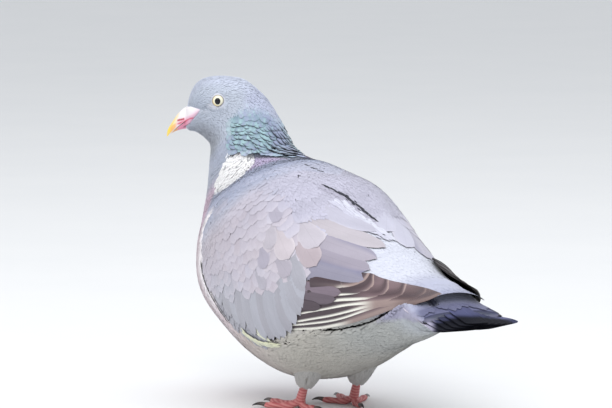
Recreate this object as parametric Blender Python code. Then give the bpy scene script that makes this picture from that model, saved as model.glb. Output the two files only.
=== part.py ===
"""A wood pigeon (Columba palumbus), life size, standing on flat ground with its head turned to its left.

Metres, +Z up. The bird faces -Y, its tail points to +Y and its left side is +X. The body is one loft:
a row of stations from the base of the bill, back over the head, down the neck and along the trunk to the
tail. Each station is an oval cut lying across the body. Head, neck, trunk and tail are lengths of that
loft with thin parting cuts, and the folded wings are shells let into its sides.
"""

import math

import bmesh
import bpy
import numpy as np
from mathutils import Vector

for old in list(bpy.data.objects):
    bpy.data.objects.remove(old, do_unlink=True)

# ---------------------------------------------------------------- driving sizes, in millimetres
MM = 0.001
CENTRE_Y = 65.844          # the middle of the bird's length, which is put at the origin
CUT = 0.35               # the parting cut between one length of the body and the next
FIT = 1.0                # room between a wing shell and the trunk under it
HEAD_TURN = 62.0         # degrees that the head is turned to the bird's left
NECK_END = 12.3          # station where the neck passes into the trunk
HEAD_END = 8.2           # station where the head passes into the neck
TRUNK_END = 22.0
WING_EDGE = 1.3          # thickness of a wing shell at its rim and over its middle
WING_MIDDLE = 6.0
PRIMARY_STACK = 2.4      # thickness of the folded flight feathers
EYE_RADIUS = 4.6
EYE_SPREAD = 14.3        # from the middle plane of the head to the centre of an eyeball
EYE_FORWARD = -20.3      # from the base of the bill, along the head
EYE_UP = 12.6
BILL_HALF_WIDTH = 5.0
TOE_RADIUS = 2.3
TARSUS_RADIUS = 2.6
FOOT_X, FOOT_Y = 19.0, 28.0
FOOT_SPLAY = 9.0         # degrees that each middle toe points outwards

# name, centre x y z, turn about Z, lean of the cut, upper depth, lower depth, half width, squareness
STATIONS = [
    ("bill base",      42.5, -81.6, 173.4, 62, 88,  7.0,  6.7,  5.8, 2.00),
    ("lores",          40.5, -80.6, 176.8, 62, 89, 12.2, 11.0,  9.8, 2.10),
    ("forehead",       37.3, -78.9, 180.2, 62, 90, 15.2, 15.1, 12.4, 2.10),
    ("front of eye",   33.3, -76.7, 181.6, 62, 88, 17.4, 18.9, 14.4, 2.10),
    ("eye",            28.5, -74.1, 181.6, 62, 81, 19.2, 21.6, 16.0, 2.10),
    ("crown",          23.5, -71.3, 180.3, 62, 72, 20.9, 23.2, 17.2, 2.10),
    ("back of crown",  19.4, -69.1, 177.5, 62, 64, 23.3, 25.0, 18.5, 2.10),
    ("nape",           16.0, -66.9, 172.7, 58, 55, 24.6, 26.4, 20.0, 2.05),
    ("upper neck",     13.3, -65.0, 166.1, 52, 47, 26.7, 27.6, 21.8, 2.00),
    ("neck",           11.0, -62.9, 157.8, 44, 41, 28.2, 29.4, 24.1, 2.00),
    ("lower neck",      9.0, -60.8, 148.3, 33, 37, 29.7, 32.0, 26.9, 2.00),
    ("neck root",       7.0, -58.2, 138.0, 21, 35, 32.6, 35.6, 31.0, 2.00),
    ("mantle",          3.8, -53.9, 129.0, 10, 34, 42.0, 40.8, 37.3, 2.02),
    ("crop",            0.6, -47.3, 119.2,  3, 36, 54.6, 47.8, 45.0, 2.05),
    ("shoulder",        0.0, -38.0, 106.5,  0, 40, 66.4, 55.3, 52.8, 2.10),
    ("breast",          0.0, -24.5,  93.3,  0, 46, 74.6, 60.5, 58.4, 2.15),
    ("keel",            0.0,  -1.4,  84.2,  0, 54, 73.6, 61.9, 59.8, 2.20),
    ("belly",           0.0,  25.4,  76.7,  0, 61, 66.6, 62.9, 59.6, 2.20),
    ("loin",            0.0,  53.8,  70.8,  0, 66, 56.0, 57.9, 57.0, 2.20),
    ("rump",            0.0,  82.9,  73.1,  0, 69, 43.2, 46.2, 49.2, 2.15),
    ("vent",            0.0, 111.9,  75.3,  0, 72, 31.6, 33.7, 39.4, 2.10),
    ("tail coverts",    0.0, 139.7,  76.6,  0, 75, 22.7, 25.1, 30.5, 2.00),
    ("tail root",       0.0, 163.7,  78.9,  0, 78, 14.9, 17.9, 24.4, 2.00),
    ("wing tips",       0.0, 186.0,  78.6,  0, 80, 11.0, 13.0, 24.0, 2.00),
]
TAIL_STATIONS = [
    ("root",      0.0, 163.7, 78.9, 0, 78, 13.6, 17.9, 24.4, 2.0),
    ("coverts",   0.0, 180.0, 76.8, 0, 79,  8.2, 12.4, 25.6, 2.0),
    ("blade",     0.4, 193.0, 75.0, 0, 80,  5.4,  4.8, 26.8, 2.1),
    ("outer",     1.0, 206.0, 73.2, 0, 80,  4.0,  2.2, 28.0, 2.2),
    ("edge",      1.4, 217.0, 71.6, 0, 80,  3.1,  1.2, 28.8, 2.2),
]
TAIL_TIP = 221.0         # y of the rounded end of the tail

# the rim of a folded wing: station, and the angle round the body from the middle of the back
WING_RIM = [
    ("shoulder top",    13.55, 52), ("shoulder",       13.20, 72), ("front edge",    13.75, 86),
    ("wrist",           14.80, 91), ("below wrist",    15.55, 103), ("front of lower edge", 16.35, 114),
    ("lower edge",      17.30, 117), ("coverts end",   18.40, 118), ("secondary end", 19.10, 111),
    ("lower corner",    19.30, 90), ("first primary",  19.55, 65), ("longest tertial", 20.25, 36),
    ("tertial tips",    19.55, 14), ("inner tertials", 18.40, 3), ("scapular end",  17.40, 1),
    ("scapulars",       16.40, 4), ("scapular top",    15.10, 15), ("mantle side",   14.10, 32),
]
WING_CENTRE = (16.8, 62.0)
STATION_STEP, DEGREE_STEP = 17.0, 0.9    # mm that one station and one degree stand for near the rim

# the folded flight feathers behind the wing: upper and lower edge from the rim out to the tip
PRIMARY_TOP = {1: [(20.25, 37), (20.9, 34), (21.5, 31), (22.1, 28), (22.95, 24)],
               -1: [(20.25, 37), (20.8, 34), (21.3, 36), (21.8, 44), (22.45, 56)]}
PRIMARY_LOW = {1: [(19.15, 110), (19.85, 120), (20.75, 116), (21.75, 91), (22.95, 32)],
               -1: [(19.15, 110), (19.85, 120), (20.6, 116), (21.5, 102), (22.45, 68)]}
PRIMARY_LIFT = {1: 0.0, -1: 1.5}         # how far each tip stands clear of the tail
SEAM = -3.0              # degrees that the line where the wings meet lies to the right of the back


# ---------------------------------------------------------------- small tools
def through(rows, where):
    """A smooth curve through evenly numbered rows, read at the places in where."""
    rows = np.asarray(rows, float)
    slope = np.gradient(rows, axis=0)
    where = np.clip(np.asarray(where, float), 0, len(rows) - 1)
    base = np.minimum(where.astype(int), len(rows) - 2)
    f = (where - base)[..., None]
    p0, p1, m0, m1 = rows[base], rows[base + 1], slope[base], slope[base + 1]
    return ((2 * f**3 - 3 * f**2 + 1) * p0 + (f**3 - 2 * f**2 + f) * m0
            + (3 * f**2 - 2 * f**3) * p1 + (f**3 - f**2) * m1)


def smooth(low, high, value):
    f = np.clip((np.asarray(value, float) - low) / (high - low), 0, 1)
    return f * f * (3 - 2 * f)


def body(station, angle, depth=0.0, table=STATIONS):
    """A point of the body: at a station, an angle from the middle of the back, and a depth under the surface."""
    station, angle = np.broadcast_arrays(np.asarray(station, float), np.asarray(angle, float))
    row = through([entry[1:] for entry in table], station)
    turn, lean = np.radians(row[..., 3]), np.radians(row[..., 4])
    down = np.stack([np.sin(turn) * np.cos(lean), -np.cos(turn) * np.cos(lean), -np.sin(lean)], -1)
    left = np.stack([np.cos(turn), np.sin(turn), 0 * turn], -1)
    phi = np.radians(angle)
    power = 2 / row[..., 8]
    up_part = np.sign(np.cos(phi)) * np.abs(np.cos(phi)) ** power
    side_part = np.sign(np.sin(phi)) * np.abs(np.sin(phi)) ** power
    upper, lower, half = row[..., 5] - depth, row[..., 6] - depth, row[..., 7] - depth
    drop = np.where(up_part > 0, -upper * up_part, -lower * up_part)
    return row[..., 0:3] + drop[..., None] * down + (half * side_part)[..., None] * left


def rim_radius(bearing):
    """Distance from the wing's centre to its rim, by bearing in degrees."""
    rows = []
    for _, station, angle in WING_RIM:
        x, y = (station - WING_CENTRE[0]) * STATION_STEP, (angle - WING_CENTRE[1]) * DEGREE_STEP
        rows.append((math.degrees(math.atan2(y, x)) % 360, math.hypot(x, y)))
    rows.sort()
    at = np.array([r[0] for r in rows])
    return np.interp(np.asarray(bearing, float) % 360, at, np.array([r[1] for r in rows]), period=360)


def on_wing(bearing, share):
    """Station and angle of a point of the wing, at a bearing from its centre and a share of the way to the rim."""
    reach = rim_radius(bearing) * share
    turn = np.radians(bearing)
    return (WING_CENTRE[0] + reach * np.cos(turn) / STATION_STEP,
            WING_CENTRE[1] + reach * np.sin(turn) / DEGREE_STEP)


def seam_shift(angle):
    return SEAM * (1 - smooth(12, 60, np.abs(angle)))


def wing_share(station, angle):
    """How far out a place lies on the nearer wing: 0 at its centre and 1 at its rim."""
    x = (np.asarray(station, float) - WING_CENTRE[0]) * STATION_STEP
    y = (np.abs(angle - seam_shift(angle)) - WING_CENTRE[1]) * DEGREE_STEP
    return np.hypot(x, y) / rim_radius(np.degrees(np.arctan2(y, x)))


def wing_thickness(share):
    return WING_EDGE + (WING_MIDDLE - WING_EDGE) * np.sqrt(np.clip(1 - share**2, 0, 1))


def primary_edges(side, along):
    top = through(PRIMARY_TOP[side], np.asarray(along, float) * 4)
    low = through(PRIMARY_LOW[side], np.asarray(along, float) * 4)
    return top, low


def primary_cover(station, angle):
    """1 where the folded flight feathers lie on the trunk, fading to 0 round them."""
    side = np.where(angle >= 0, 1, -1)
    cover = np.zeros(np.broadcast(station, angle).shape)
    for one in (1, -1):
        along = np.linspace(0, 1, 60)
        top, low = primary_edges(one, along)
        high = np.interp(station, top[:, 0], top[:, 1])
        under = np.interp(station, low[:, 0], low[:, 1])
        inside = np.minimum(np.abs(angle) - (high - 13), (under + 13) - np.abs(angle))
        here = smooth(0, 6, inside) * smooth(18.4, 18.8, station) * (1 - smooth(23.0, 23.4, station))
        cover = np.where(side == one, here, cover)
    return cover


def material(name, colour, roughness, metallic=0.0):
    new = bpy.data.materials.new(name)
    new.use_nodes = True
    shader = new.node_tree.nodes["Principled BSDF"]
    shader.inputs["Base Color"].default_value = (*colour, 1)
    shader.inputs["Roughness"].default_value = roughness
    shader.inputs["Metallic"].default_value = metallic
    new.diffuse_color = (*colour, 1)
    return new


def add(name, points, faces, finish):
    """Makes a named object from points in millimetres, with its faces turned outwards."""
    mesh = bpy.data.meshes.new(name)
    moved = [(p[0] * MM, (p[1] - CENTRE_Y) * MM, p[2] * MM) for p in points]
    mesh.from_pydata(moved, [], faces)
    shape = bmesh.new()
    shape.from_mesh(mesh)
    bmesh.ops.recalc_face_normals(shape, faces=shape.faces)
    if shape.calc_volume(signed=True) < 0:
        bmesh.ops.reverse_faces(shape, faces=shape.faces)
    shape.to_mesh(mesh)
    shape.free()
    mesh.shade_smooth()
    mesh.set_sharp_from_angle(angle=math.radians(45))
    thing = bpy.data.objects.new(name, mesh)
    thing.data.materials.append(finish)
    bpy.context.scene.collection.objects.link(thing)
    return thing


def loft(rings, close_start=True, close_end=True):
    """Points and faces of rings of equal length joined into one closed skin, with a point in each end cap."""
    rings = [np.asarray(ring, float) for ring in rings]
    n = len(rings[0])
    points = [tuple(p) for ring in rings for p in ring]
    faces = []
    for i in range(len(rings) - 1):
        for j in range(n):
            k = (j + 1) % n
            faces.append((i * n + j, i * n + k, (i + 1) * n + k, (i + 1) * n + j))
    for wanted, i in ((close_start, 0), (close_end, len(rings) - 1)):
        if wanted:
            middle = len(points)
            points.append(tuple(rings[i].mean(0)))
            faces += [(middle, i * n + j, i * n + (j + 1) % n) for j in range(n)]
    return points, faces


def sheet(outer, inner):
    """Points and faces of a plate between two grids of points, closed round its rim."""
    outer, inner = np.asarray(outer, float), np.asarray(inner, float)
    rows, cols = outer.shape[:2]
    points = [tuple(p) for p in outer.reshape(-1, 3)] + [tuple(p) for p in inner.reshape(-1, 3)]
    m = rows * cols
    faces = []
    for i in range(rows - 1):
        for j in range(cols - 1):
            a, b, c, d = i * cols + j, i * cols + j + 1, (i + 1) * cols + j + 1, (i + 1) * cols + j
            faces += [(a, b, c, d), (m + d, m + c, m + b, m + a)]
    rim = ([j for j in range(cols - 1)] + [i * cols + cols - 1 for i in range(rows - 1)]
           + [(rows - 1) * cols + j for j in range(cols - 1, 0, -1)] + [i * cols for i in range(rows - 1, 0, -1)])
    for i, a in enumerate(rim):
        b = rim[(i + 1) % len(rim)]
        faces.append((a, m + a, m + b, b))
    return points, faces


def tube(path, radii, sides=10, floor=None):
    """A closed round rod along a path. With a floor, no point goes below it, which makes a flat sole."""
    path = [Vector(p) for p in path]
    rings = []
    for i, (p, r) in enumerate(zip(path, radii)):
        along = (path[min(i + 1, len(path) - 1)] - path[max(i - 1, 0)]).normalized()
        side = along.cross(Vector((0, 0, 1)))
        side = side.normalized() if side.length > 0.2 else along.cross(Vector((0, 1, 0))).normalized()
        up = side.cross(along).normalized()
        ring = []
        for k in range(sides):
            a = 2 * math.pi * k / sides
            q = p + (side * math.cos(a) + up * math.sin(a)) * r
            if floor is not None:
                q.z = max(q.z, floor)
            ring.append(tuple(q))
        rings.append(ring)
    return loft(rings)


def joined(name, pieces, finish):
    """One body made by the Boolean union of overlapping closed pieces."""
    first = None
    for i, (points, faces) in enumerate(pieces):
        thing = add(name if i == 0 else f"{name}_piece{i}", points, faces, finish)
        if first is None:
            first = thing
            continue
        thing.hide_render = True
        thing.display_type = "WIRE"
        union = first.modifiers.new(f"join{i}", "BOOLEAN")
        union.operation = "UNION"
        union.solver = "EXACT"
        union.object = thing
    return first


def cut_by(thing, cutter, label):
    cutter.hide_render = True
    cutter.display_type = "WIRE"
    cut = thing.modifiers.new(label, "BOOLEAN")
    cut.operation = "DIFFERENCE"
    cut.solver = "EXACT"
    cut.object = cutter
    return thing


# ---------------------------------------------------------------- materials
HEAD_GREY = material("head_grey", (0.30, 0.35, 0.42), 0.75)
NECK_SHEEN = material("neck_green", (0.16, 0.24, 0.25), 0.55)
BODY_GREY = material("body_grey", (0.42, 0.41, 0.45), 0.8)
WING_GREY = material("wing_grey_brown", (0.34, 0.32, 0.34), 0.8)
FLIGHT_DARK = material("flight_dark", (0.11, 0.09, 0.085), 0.7)
TAIL_DARK = material("tail_slate", (0.13, 0.13, 0.16), 0.7)
BILL_HORN = material("bill_horn", (0.75, 0.42, 0.20), 0.45)
BILL_PINK = material("bill_pink", (0.72, 0.30, 0.28), 0.5)
EYE_CREAM = material("eye_cream", (0.80, 0.76, 0.55), 0.15)
LEG_RED = material("leg_red", (0.48, 0.13, 0.12), 0.6)
CLAW_HORN = material("claw_horn", (0.06, 0.05, 0.05), 0.4)
THIGH_GREY = material("thigh_grey", (0.45, 0.44, 0.47), 0.85)

# ---------------------------------------------------------------- head, neck, trunk
AROUND = 28
ring_angles = np.arange(AROUND) * 360 / AROUND


def length_of_body(first, last, count, angles, depth_of=None):
    rings = []
    for station in np.linspace(first, last, count):
        depth = depth_of(station, np.where(angles > 180, angles - 360, angles)) if depth_of else 0.0
        rings.append(body(np.full(angles.shape, station), angles, depth))
    return rings


head_rings = length_of_body(0.0, HEAD_END - 0.05, 13, ring_angles)
head = add("head", *loft(head_rings), HEAD_GREY)
neck_rings = length_of_body(HEAD_END + 0.05, NECK_END - 0.03, 8, ring_angles)
neck = add("neck", *loft(neck_rings), NECK_SHEEN)


def trunk_depth(station, angle):
    share = wing_share(station, angle)
    under_wing = wing_thickness(np.minimum(share, 1)) + FIT
    deep = under_wing * (1 - smooth(1.03, 1.14, share))
    covered = (0.9 + PRIMARY_STACK + FIT) * primary_cover(station, angle)
    return np.maximum(deep, covered)


trunk_angles = np.arange(40) * 360 / 40
trunk_rings = length_of_body(NECK_END + 0.03, TRUNK_END - 0.02, 28, trunk_angles, trunk_depth)
trunk = add("trunk", *loft(trunk_rings), BODY_GREY)

# ---------------------------------------------------------------- wings
RIM_STEPS, SPOKE_STEPS = 30, 5


def wing(name, side):
    bearings = np.arange(RIM_STEPS) * 360 / RIM_STEPS
    outer, inner = [], []
    for step in range(SPOKE_STEPS, 0, -1):
        share = (step / SPOKE_STEPS) ** 0.85
        station, angle = on_wing(bearings, share * np.ones(RIM_STEPS))
        place = side * angle + seam_shift(angle)
        outer.append(body(station, place, 0.0))
        inner.append(body(station, place, wing_thickness(share)))
    centre = np.array([WING_CENTRE])
    hub_out = body(centre[:, 0], side * centre[:, 1], 0.0)[0]
    hub_in = body(centre[:, 0], side * centre[:, 1], wing_thickness(0.0))[0]
    rings = outer[::-1] + inner
    points, faces = loft(rings, False, False)
    n = RIM_STEPS
    a, b = len(points), len(points) + 1
    points += [tuple(hub_out), tuple(hub_in)]
    last = (len(rings) - 1) * n
    faces += [(a, j, (j + 1) % n) for j in range(n)] + [(b, last + (j + 1) % n, last + j) for j in range(n)]
    return add(name, points, faces, WING_GREY)


wing("wing_left", 1)
wing("wing_right", -1)

BLADES = 6               # flight feathers that show, each a step lower than the one above it
BLADE_STEP = 0.28


def primaries(name, side):
    """The folded flight feathers: a thin stack stepped from feather to feather, narrowing to one tip."""
    across = []
    for blade in range(BLADES):
        for within in (0.0, 1.0):
            across.append(((blade + within * 0.985) / BLADES, blade))
    outer, inner = [], []
    for along in np.linspace(0, 1, 11):
        top, low = primary_edges(side, along)
        line_out, line_in = [], []
        for share, blade in across:
            station = top[0] + (low[0] - top[0]) * share
            angle = top[1] + (low[1] - top[1]) * share
            # the root row follows the rim of the wing, a cut's width behind it
            bulge = 1.035 / max(float(wing_share(station, angle + seam_shift(angle))), 1e-6)
            if bulge > 1:
                station = WING_CENTRE[0] + (station - WING_CENTRE[0]) * bulge
                angle = WING_CENTRE[1] + (angle - WING_CENTRE[1]) * bulge
            fade = 1 - 0.45 * along
            top_depth = 0.3 - PRIMARY_LIFT[side] * along**2
            line_out.append(body(station, side * angle, top_depth + blade * BLADE_STEP * fade * 0.8))
            line_in.append(body(station, side * angle, top_depth + PRIMARY_STACK * (1 - 0.3 * along)))
        outer.append(line_out)
        inner.append(line_in)
    return add(name, *sheet(outer, inner), FLIGHT_DARK)


primaries("primaries_left", 1)
primaries("primaries_right", -1)

# ---------------------------------------------------------------- tail
TAIL_SIDES = 30
tail_rings = []
tail_angles = np.arange(TAIL_SIDES) * 360 / TAIL_SIDES
for place in np.linspace(0.04, len(TAIL_STATIONS) - 1, 10):
    # the tail runs under the wing tips, so it is let in there as the trunk is
    middle_y = through([entry[2] for entry in TAIL_STATIONS], place)
    level = TRUNK_END + (middle_y - STATIONS[-2][2]) / (STATIONS[-1][2] - STATIONS[-2][2])
    signed = np.where(tail_angles > 180, tail_angles - 360, tail_angles)
    let_in = (1.1 + PRIMARY_STACK + FIT) * primary_cover(np.full(TAIL_SIDES, level), signed) * (1 - smooth(0.2, 1.6, place))
    ring = body(np.full(TAIL_SIDES, place), tail_angles, let_in, TAIL_STATIONS)
    # each pair of feathers lies a step under the pair nearer the middle
    bed = np.floor(np.abs(ring[:, 0]) / 5.2) * 0.25 * smooth(1.2, 2.2, place)
    ring[:, 2] -= np.where(ring[:, 2] > ring[:, 2].mean(), bed, -bed * 0.3)
    tail_rings.append(ring)
end = tail_rings[-1]
for pull, squeeze in ((0.6, 0.975), (1.0, 0.93)):
    ring = end.copy()
    middle = end.mean(0)
    ring[:, 1] = end[:, 1] + (TAIL_TIP - 217.0) * pull
    ring[:, 0] = middle[0] + (end[:, 0] - middle[0]) * squeeze
    ring[:, 2] = middle[2] + (end[:, 2] - middle[2]) * (1 - 0.45 * pull) - 0.7 * pull
    tail_rings.append(ring)
add("tail", *loft(tail_rings), TAIL_DARK)

# ---------------------------------------------------------------- bill and eyes
turn = math.radians(HEAD_TURN)
FORWARD = np.array([math.sin(turn), -math.cos(turn), 0.0])
LEFT = np.array([math.cos(turn), math.sin(turn), 0.0])
UP = np.array([0.0, 0.0, 1.0])
BILL_ROOT = np.array(STATIONS[0][1:4], float)


def at_bill(forward, left, up):
    return BILL_ROOT + forward * FORWARD + left * LEFT + up * UP


def bill_half(rows, arch):
    """A half of the bill: rows of (forward, up) for its ridge and for its cutting edge, and its half width."""
    rings = []
    for f_ridge, u_ridge, f_edge, u_edge, half in rows:
        ring = []
        for k in range(11):
            a = math.pi * k / 10
            lift = math.sin(a) ** 0.9
            ring.append(at_bill(f_edge + (f_ridge - f_edge) * lift, half * math.cos(a) * (1 - 0.08 * lift),
                                u_edge + (u_ridge - u_edge) * lift))
        for k in (1, 2, 3):
            share = k / 4
            ring.append(at_bill(f_edge, -half * (1 - 2 * share), u_edge + arch * math.sin(math.pi * share)))
        rings.append(ring)
    return loft(rings)


w = BILL_HALF_WIDTH
UPPER_BILL = [   # ridge forward, up; cutting edge forward, up; half width
    (0.35, 6.7, 0.35, -0.7, w * 1.04), (2.2, 5.8, 1.6, -1.6, w * 1.06), (4.3, 4.2, 3.0, -2.6, w),
    (6.1, 2.1, 4.4, -3.6, w * 0.86), (7.9, -0.5, 5.9, -4.9, w * 0.72), (9.7, -3.2, 7.4, -6.3, w * 0.58),
    (11.2, -5.7, 8.9, -7.8, w * 0.44), (12.2, -8.4, 10.4, -9.3, w * 0.29), (12.55, -11.2, 11.7, -11.2, w * 0.12),
]
LOWER_BILL = [
    (0.35, -6.4, 0.35, -1.3, w * 0.92), (2.4, -6.7, 2.0, -2.7, w * 0.84), (4.6, -7.2, 4.0, -4.2, w * 0.7),
    (6.8, -7.9, 6.2, -6.0, w * 0.52), (8.8, -8.9, 8.2, -7.9, w * 0.34), (10.0, -9.7, 9.7, -9.4, w * 0.14),
]
bill_upper = add("bill_upper", *bill_half(UPPER_BILL, 0.0), BILL_HORN)
bill_lower = add("bill_lower", *bill_half(LOWER_BILL, 0.0), BILL_PINK)


def ball(centre, radius, rings=9, sides=16):
    points = [centre + np.array([0, 0, radius])]
    for i in range(1, rings):
        a = math.pi * i / rings
        for j in range(sides):
            b = 2 * math.pi * j / sides
            points.append(centre + radius * np.array([math.sin(a) * math.cos(b), math.sin(a) * math.sin(b), math.cos(a)]))
    points.append(centre - np.array([0, 0, radius]))
    faces = [(0, 1 + j, 1 + (j + 1) % sides) for j in range(sides)]
    for i in range(rings - 2):
        for j in range(sides):
            a, b = 1 + i * sides + j, 1 + i * sides + (j + 1) % sides
            faces.append((a, a + sides, b + sides, b))
    last, base = len(points) - 1, 1 + (rings - 2) * sides
    faces += [(last, base + (j + 1) % sides, base + j) for j in range(sides)]
    return [tuple(p) for p in points], faces


for label, side in (("left", 1), ("right", -1)):
    centre = at_bill(EYE_FORWARD, side * EYE_SPREAD, EYE_UP)
    add(f"eye_{label}", *ball(centre, EYE_RADIUS), EYE_CREAM)
    socket = add(f"socket_{label}", *ball(centre, EYE_RADIUS + 0.35), HEAD_GREY)
    cut_by(head, socket, f"socket_{label}")

# ---------------------------------------------------------------- legs
TOES = [   # name, degrees from straight ahead, lengths of its bones
    ("middle", 0.0, 30.0), ("inner", 42.0, 22.0), ("outer", -38.0, 23.0), ("hind", 176.0, 15.0),
]
CLAW_LENGTH = 8.0
SOLE = 0.0
KNUCKLE_Z = 5.2


def floor_block():
    """A block whose top is the floor, which cuts the flat soles of the toes."""
    points = [(x, y, z) for z in (-20.0, SOLE) for x, y in ((-70, -60), (70, -60), (70, 100), (-70, 100))]
    faces = [(0, 3, 2, 1), (4, 5, 6, 7), (0, 1, 5, 4), (1, 2, 6, 5), (2, 3, 7, 6), (3, 0, 4, 7)]
    return add("floor_cutter", points, faces, BODY_GREY)


floor_cutter = floor_block()


def mirrored(piece, side):
    """The piece itself for the left side, and its mirror image for the right."""
    points, faces = piece
    return [(side * p[0], p[1], p[2]) for p in points], faces


def leg(label, side):
    foot = Vector((FOOT_X, FOOT_Y, KNUCKLE_Z))
    heel = foot + Vector((-1.0, 10.0, 20.5))
    pieces = []
    rise = [-0.06, 0.18, 0.4, 0.62, 0.84, 1.0, 1.18]
    path = [foot + (heel - foot) * f for f in rise]
    radii = [TARSUS_RADIUS * s for s in (1.15, 1.08, 0.96, 0.94, 1.0, 1.2, 1.3)]
    pieces.append(tube(path, radii, 8))
    claws = []
    for order, (toe, bearing, length) in enumerate(TOES):
        heading = math.radians(-90.0 + (FOOT_SPLAY - bearing))
        ahead = Vector((math.cos(heading), math.sin(heading), 0.0))
        path, radii = [], []
        knots = 7
        for k in range(knots):
            share = k / (knots - 1)
            height = KNUCKLE_Z * (1 - smooth(0.0, 0.42, share)) + TOE_RADIUS * 0.78 * smooth(0.0, 0.42, share)
            pad = 1.0 + 0.10 * math.cos(share * math.pi * 5)
            start = -1.3 - 0.31 * order    # each toe begins a little inside the knuckle
            path.append(Vector((foot.x, foot.y, 0)) + ahead * (start + (length - start) * share)
                        + Vector((0, 0, float(height) - 0.17 * order * (1 - share))))
            radii.append(TOE_RADIUS * pad * (1.0 - 0.24 * share))
        pieces.append(tube(path, radii, 8))
        claws.append((toe, path[-1], ahead, radii[-1]))
    thing = joined(f"leg_{label}", [mirrored(piece, side) for piece in pieces], LEG_RED)
    cut_by(thing, floor_cutter, "soles")
    for toe, end, ahead, r in claws:
        path, radii = [], []
        for k in range(5):
            share = k / 4
            path.append(end + ahead * (CUT + CLAW_LENGTH * share)
                        + Vector((0, 0, 0.9 * math.sin(share * 2.4) - 1.4 * share**2 + 0.1)))
            radii.append(1.35 * (1 - share) ** 0.8 + 0.28)
        add(f"claw_{label}_{toe}", *mirrored(tube(path, radii, 5, floor=0.05), side), CLAW_HORN)
    return thing


THIGH_TOP, THIGH_END = 30.0, 15.0


def thigh(label, side):
    """The feathered upper leg: the stub that shows under the belly, down to the bare shank."""
    foot = Vector((FOOT_X, FOOT_Y, KNUCKLE_Z))
    heel = foot + Vector((-1.0, 10.0, 20.5))
    path, radii = [], []
    for share in (0.0, 0.2, 0.4, 0.6, 0.8, 1.0):
        path.append(heel + (foot - heel) * (0.52 * (1 - share)) + Vector((0, 3.0 * share, 9.0 * share)))
        radii.append(4.6 + 8.4 * share**0.8)
    return add(f"thigh_{label}", *mirrored(tube(path, radii, 14), side), THIGH_GREY)


belly_rings = length_of_body(NECK_END + 0.03, TRUNK_END - 0.02, 28, trunk_angles,
                             lambda station, angle: trunk_depth(station, angle) - 0.35)
belly = add("belly_cutter", *loft(belly_rings), BODY_GREY)
for label, side in (("left", 1), ("right", -1)):
    shank = leg(label, side)
    upper = thigh(label, side)
    cut_by(upper, belly, "belly")
    # the bare shank starts where the feathering ends
    foot = Vector((FOOT_X, FOOT_Y, KNUCKLE_Z))
    heel = foot + Vector((-1.0, 10.0, 20.5))
    sleeve_path = [heel + (foot - heel) * (0.52 * (1 - s)) + Vector((0, 3.0 * s, 9.0 * s)) for s in (0.0, 0.2, 0.4, 0.6, 0.8, 1.0)]
    low = (foot - heel).normalized() * CUT
    sleeve_path = [sleeve_path[0] + low] + sleeve_path[1:] + [sleeve_path[-1] + Vector((0, 0, 6))]
    sleeve = add(f"sleeve_{label}", *mirrored(tube(sleeve_path, [5.2, 6.7, 8.9, 11.0, 12.6, 13.8, 14.0], 14), side), LEG_RED)
    cut_by(shank, sleeve, "sleeve")
    cut_by(shank, belly, "belly")
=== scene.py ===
"""The looks of a life-size wood pigeon (Columba palumbus) standing with its head turned to its left.

All shapes are worked out in millimetres in the bird's own frame (it faces -Y, its left is +X, the floor is
z = 0) and moved into the model's frame at the end. The body is a surface read by station, from the bill to
the tail, and by angle round it from the middle of the back. One skin follows that surface a little way in,
and every feather is a thin closed vane laid on it along its own lie.
"""

import math

import bmesh
import bpy
import numpy as np
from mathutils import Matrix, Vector, kdtree


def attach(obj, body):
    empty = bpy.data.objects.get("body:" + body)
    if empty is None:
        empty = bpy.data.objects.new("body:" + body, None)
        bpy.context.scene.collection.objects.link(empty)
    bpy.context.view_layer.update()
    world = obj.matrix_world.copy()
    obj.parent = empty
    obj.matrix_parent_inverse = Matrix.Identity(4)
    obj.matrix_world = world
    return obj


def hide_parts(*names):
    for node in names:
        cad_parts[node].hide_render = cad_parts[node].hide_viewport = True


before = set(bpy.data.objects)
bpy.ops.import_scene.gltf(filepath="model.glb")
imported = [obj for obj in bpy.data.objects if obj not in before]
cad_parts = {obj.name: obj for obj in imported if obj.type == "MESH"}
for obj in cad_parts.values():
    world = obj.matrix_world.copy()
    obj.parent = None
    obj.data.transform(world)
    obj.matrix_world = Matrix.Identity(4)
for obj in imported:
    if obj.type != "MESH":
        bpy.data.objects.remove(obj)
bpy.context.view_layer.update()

# ---------------------------------------------------------------- the body, as in the solids
CENTRE_Y = 65.844
SEAM = -3.0
HEAD_TURN = 62.0
EYE_SPREAD, EYE_FORWARD, EYE_UP = 13.2, -20.3, 12.6
BILL_HALF_WIDTH = 5.0
TOE_RADIUS, TARSUS_RADIUS = 2.3, 2.6
FOOT_X, FOOT_Y, FOOT_SPLAY, KNUCKLE_Z = 19.0, 28.0, 9.0, 5.2

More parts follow.
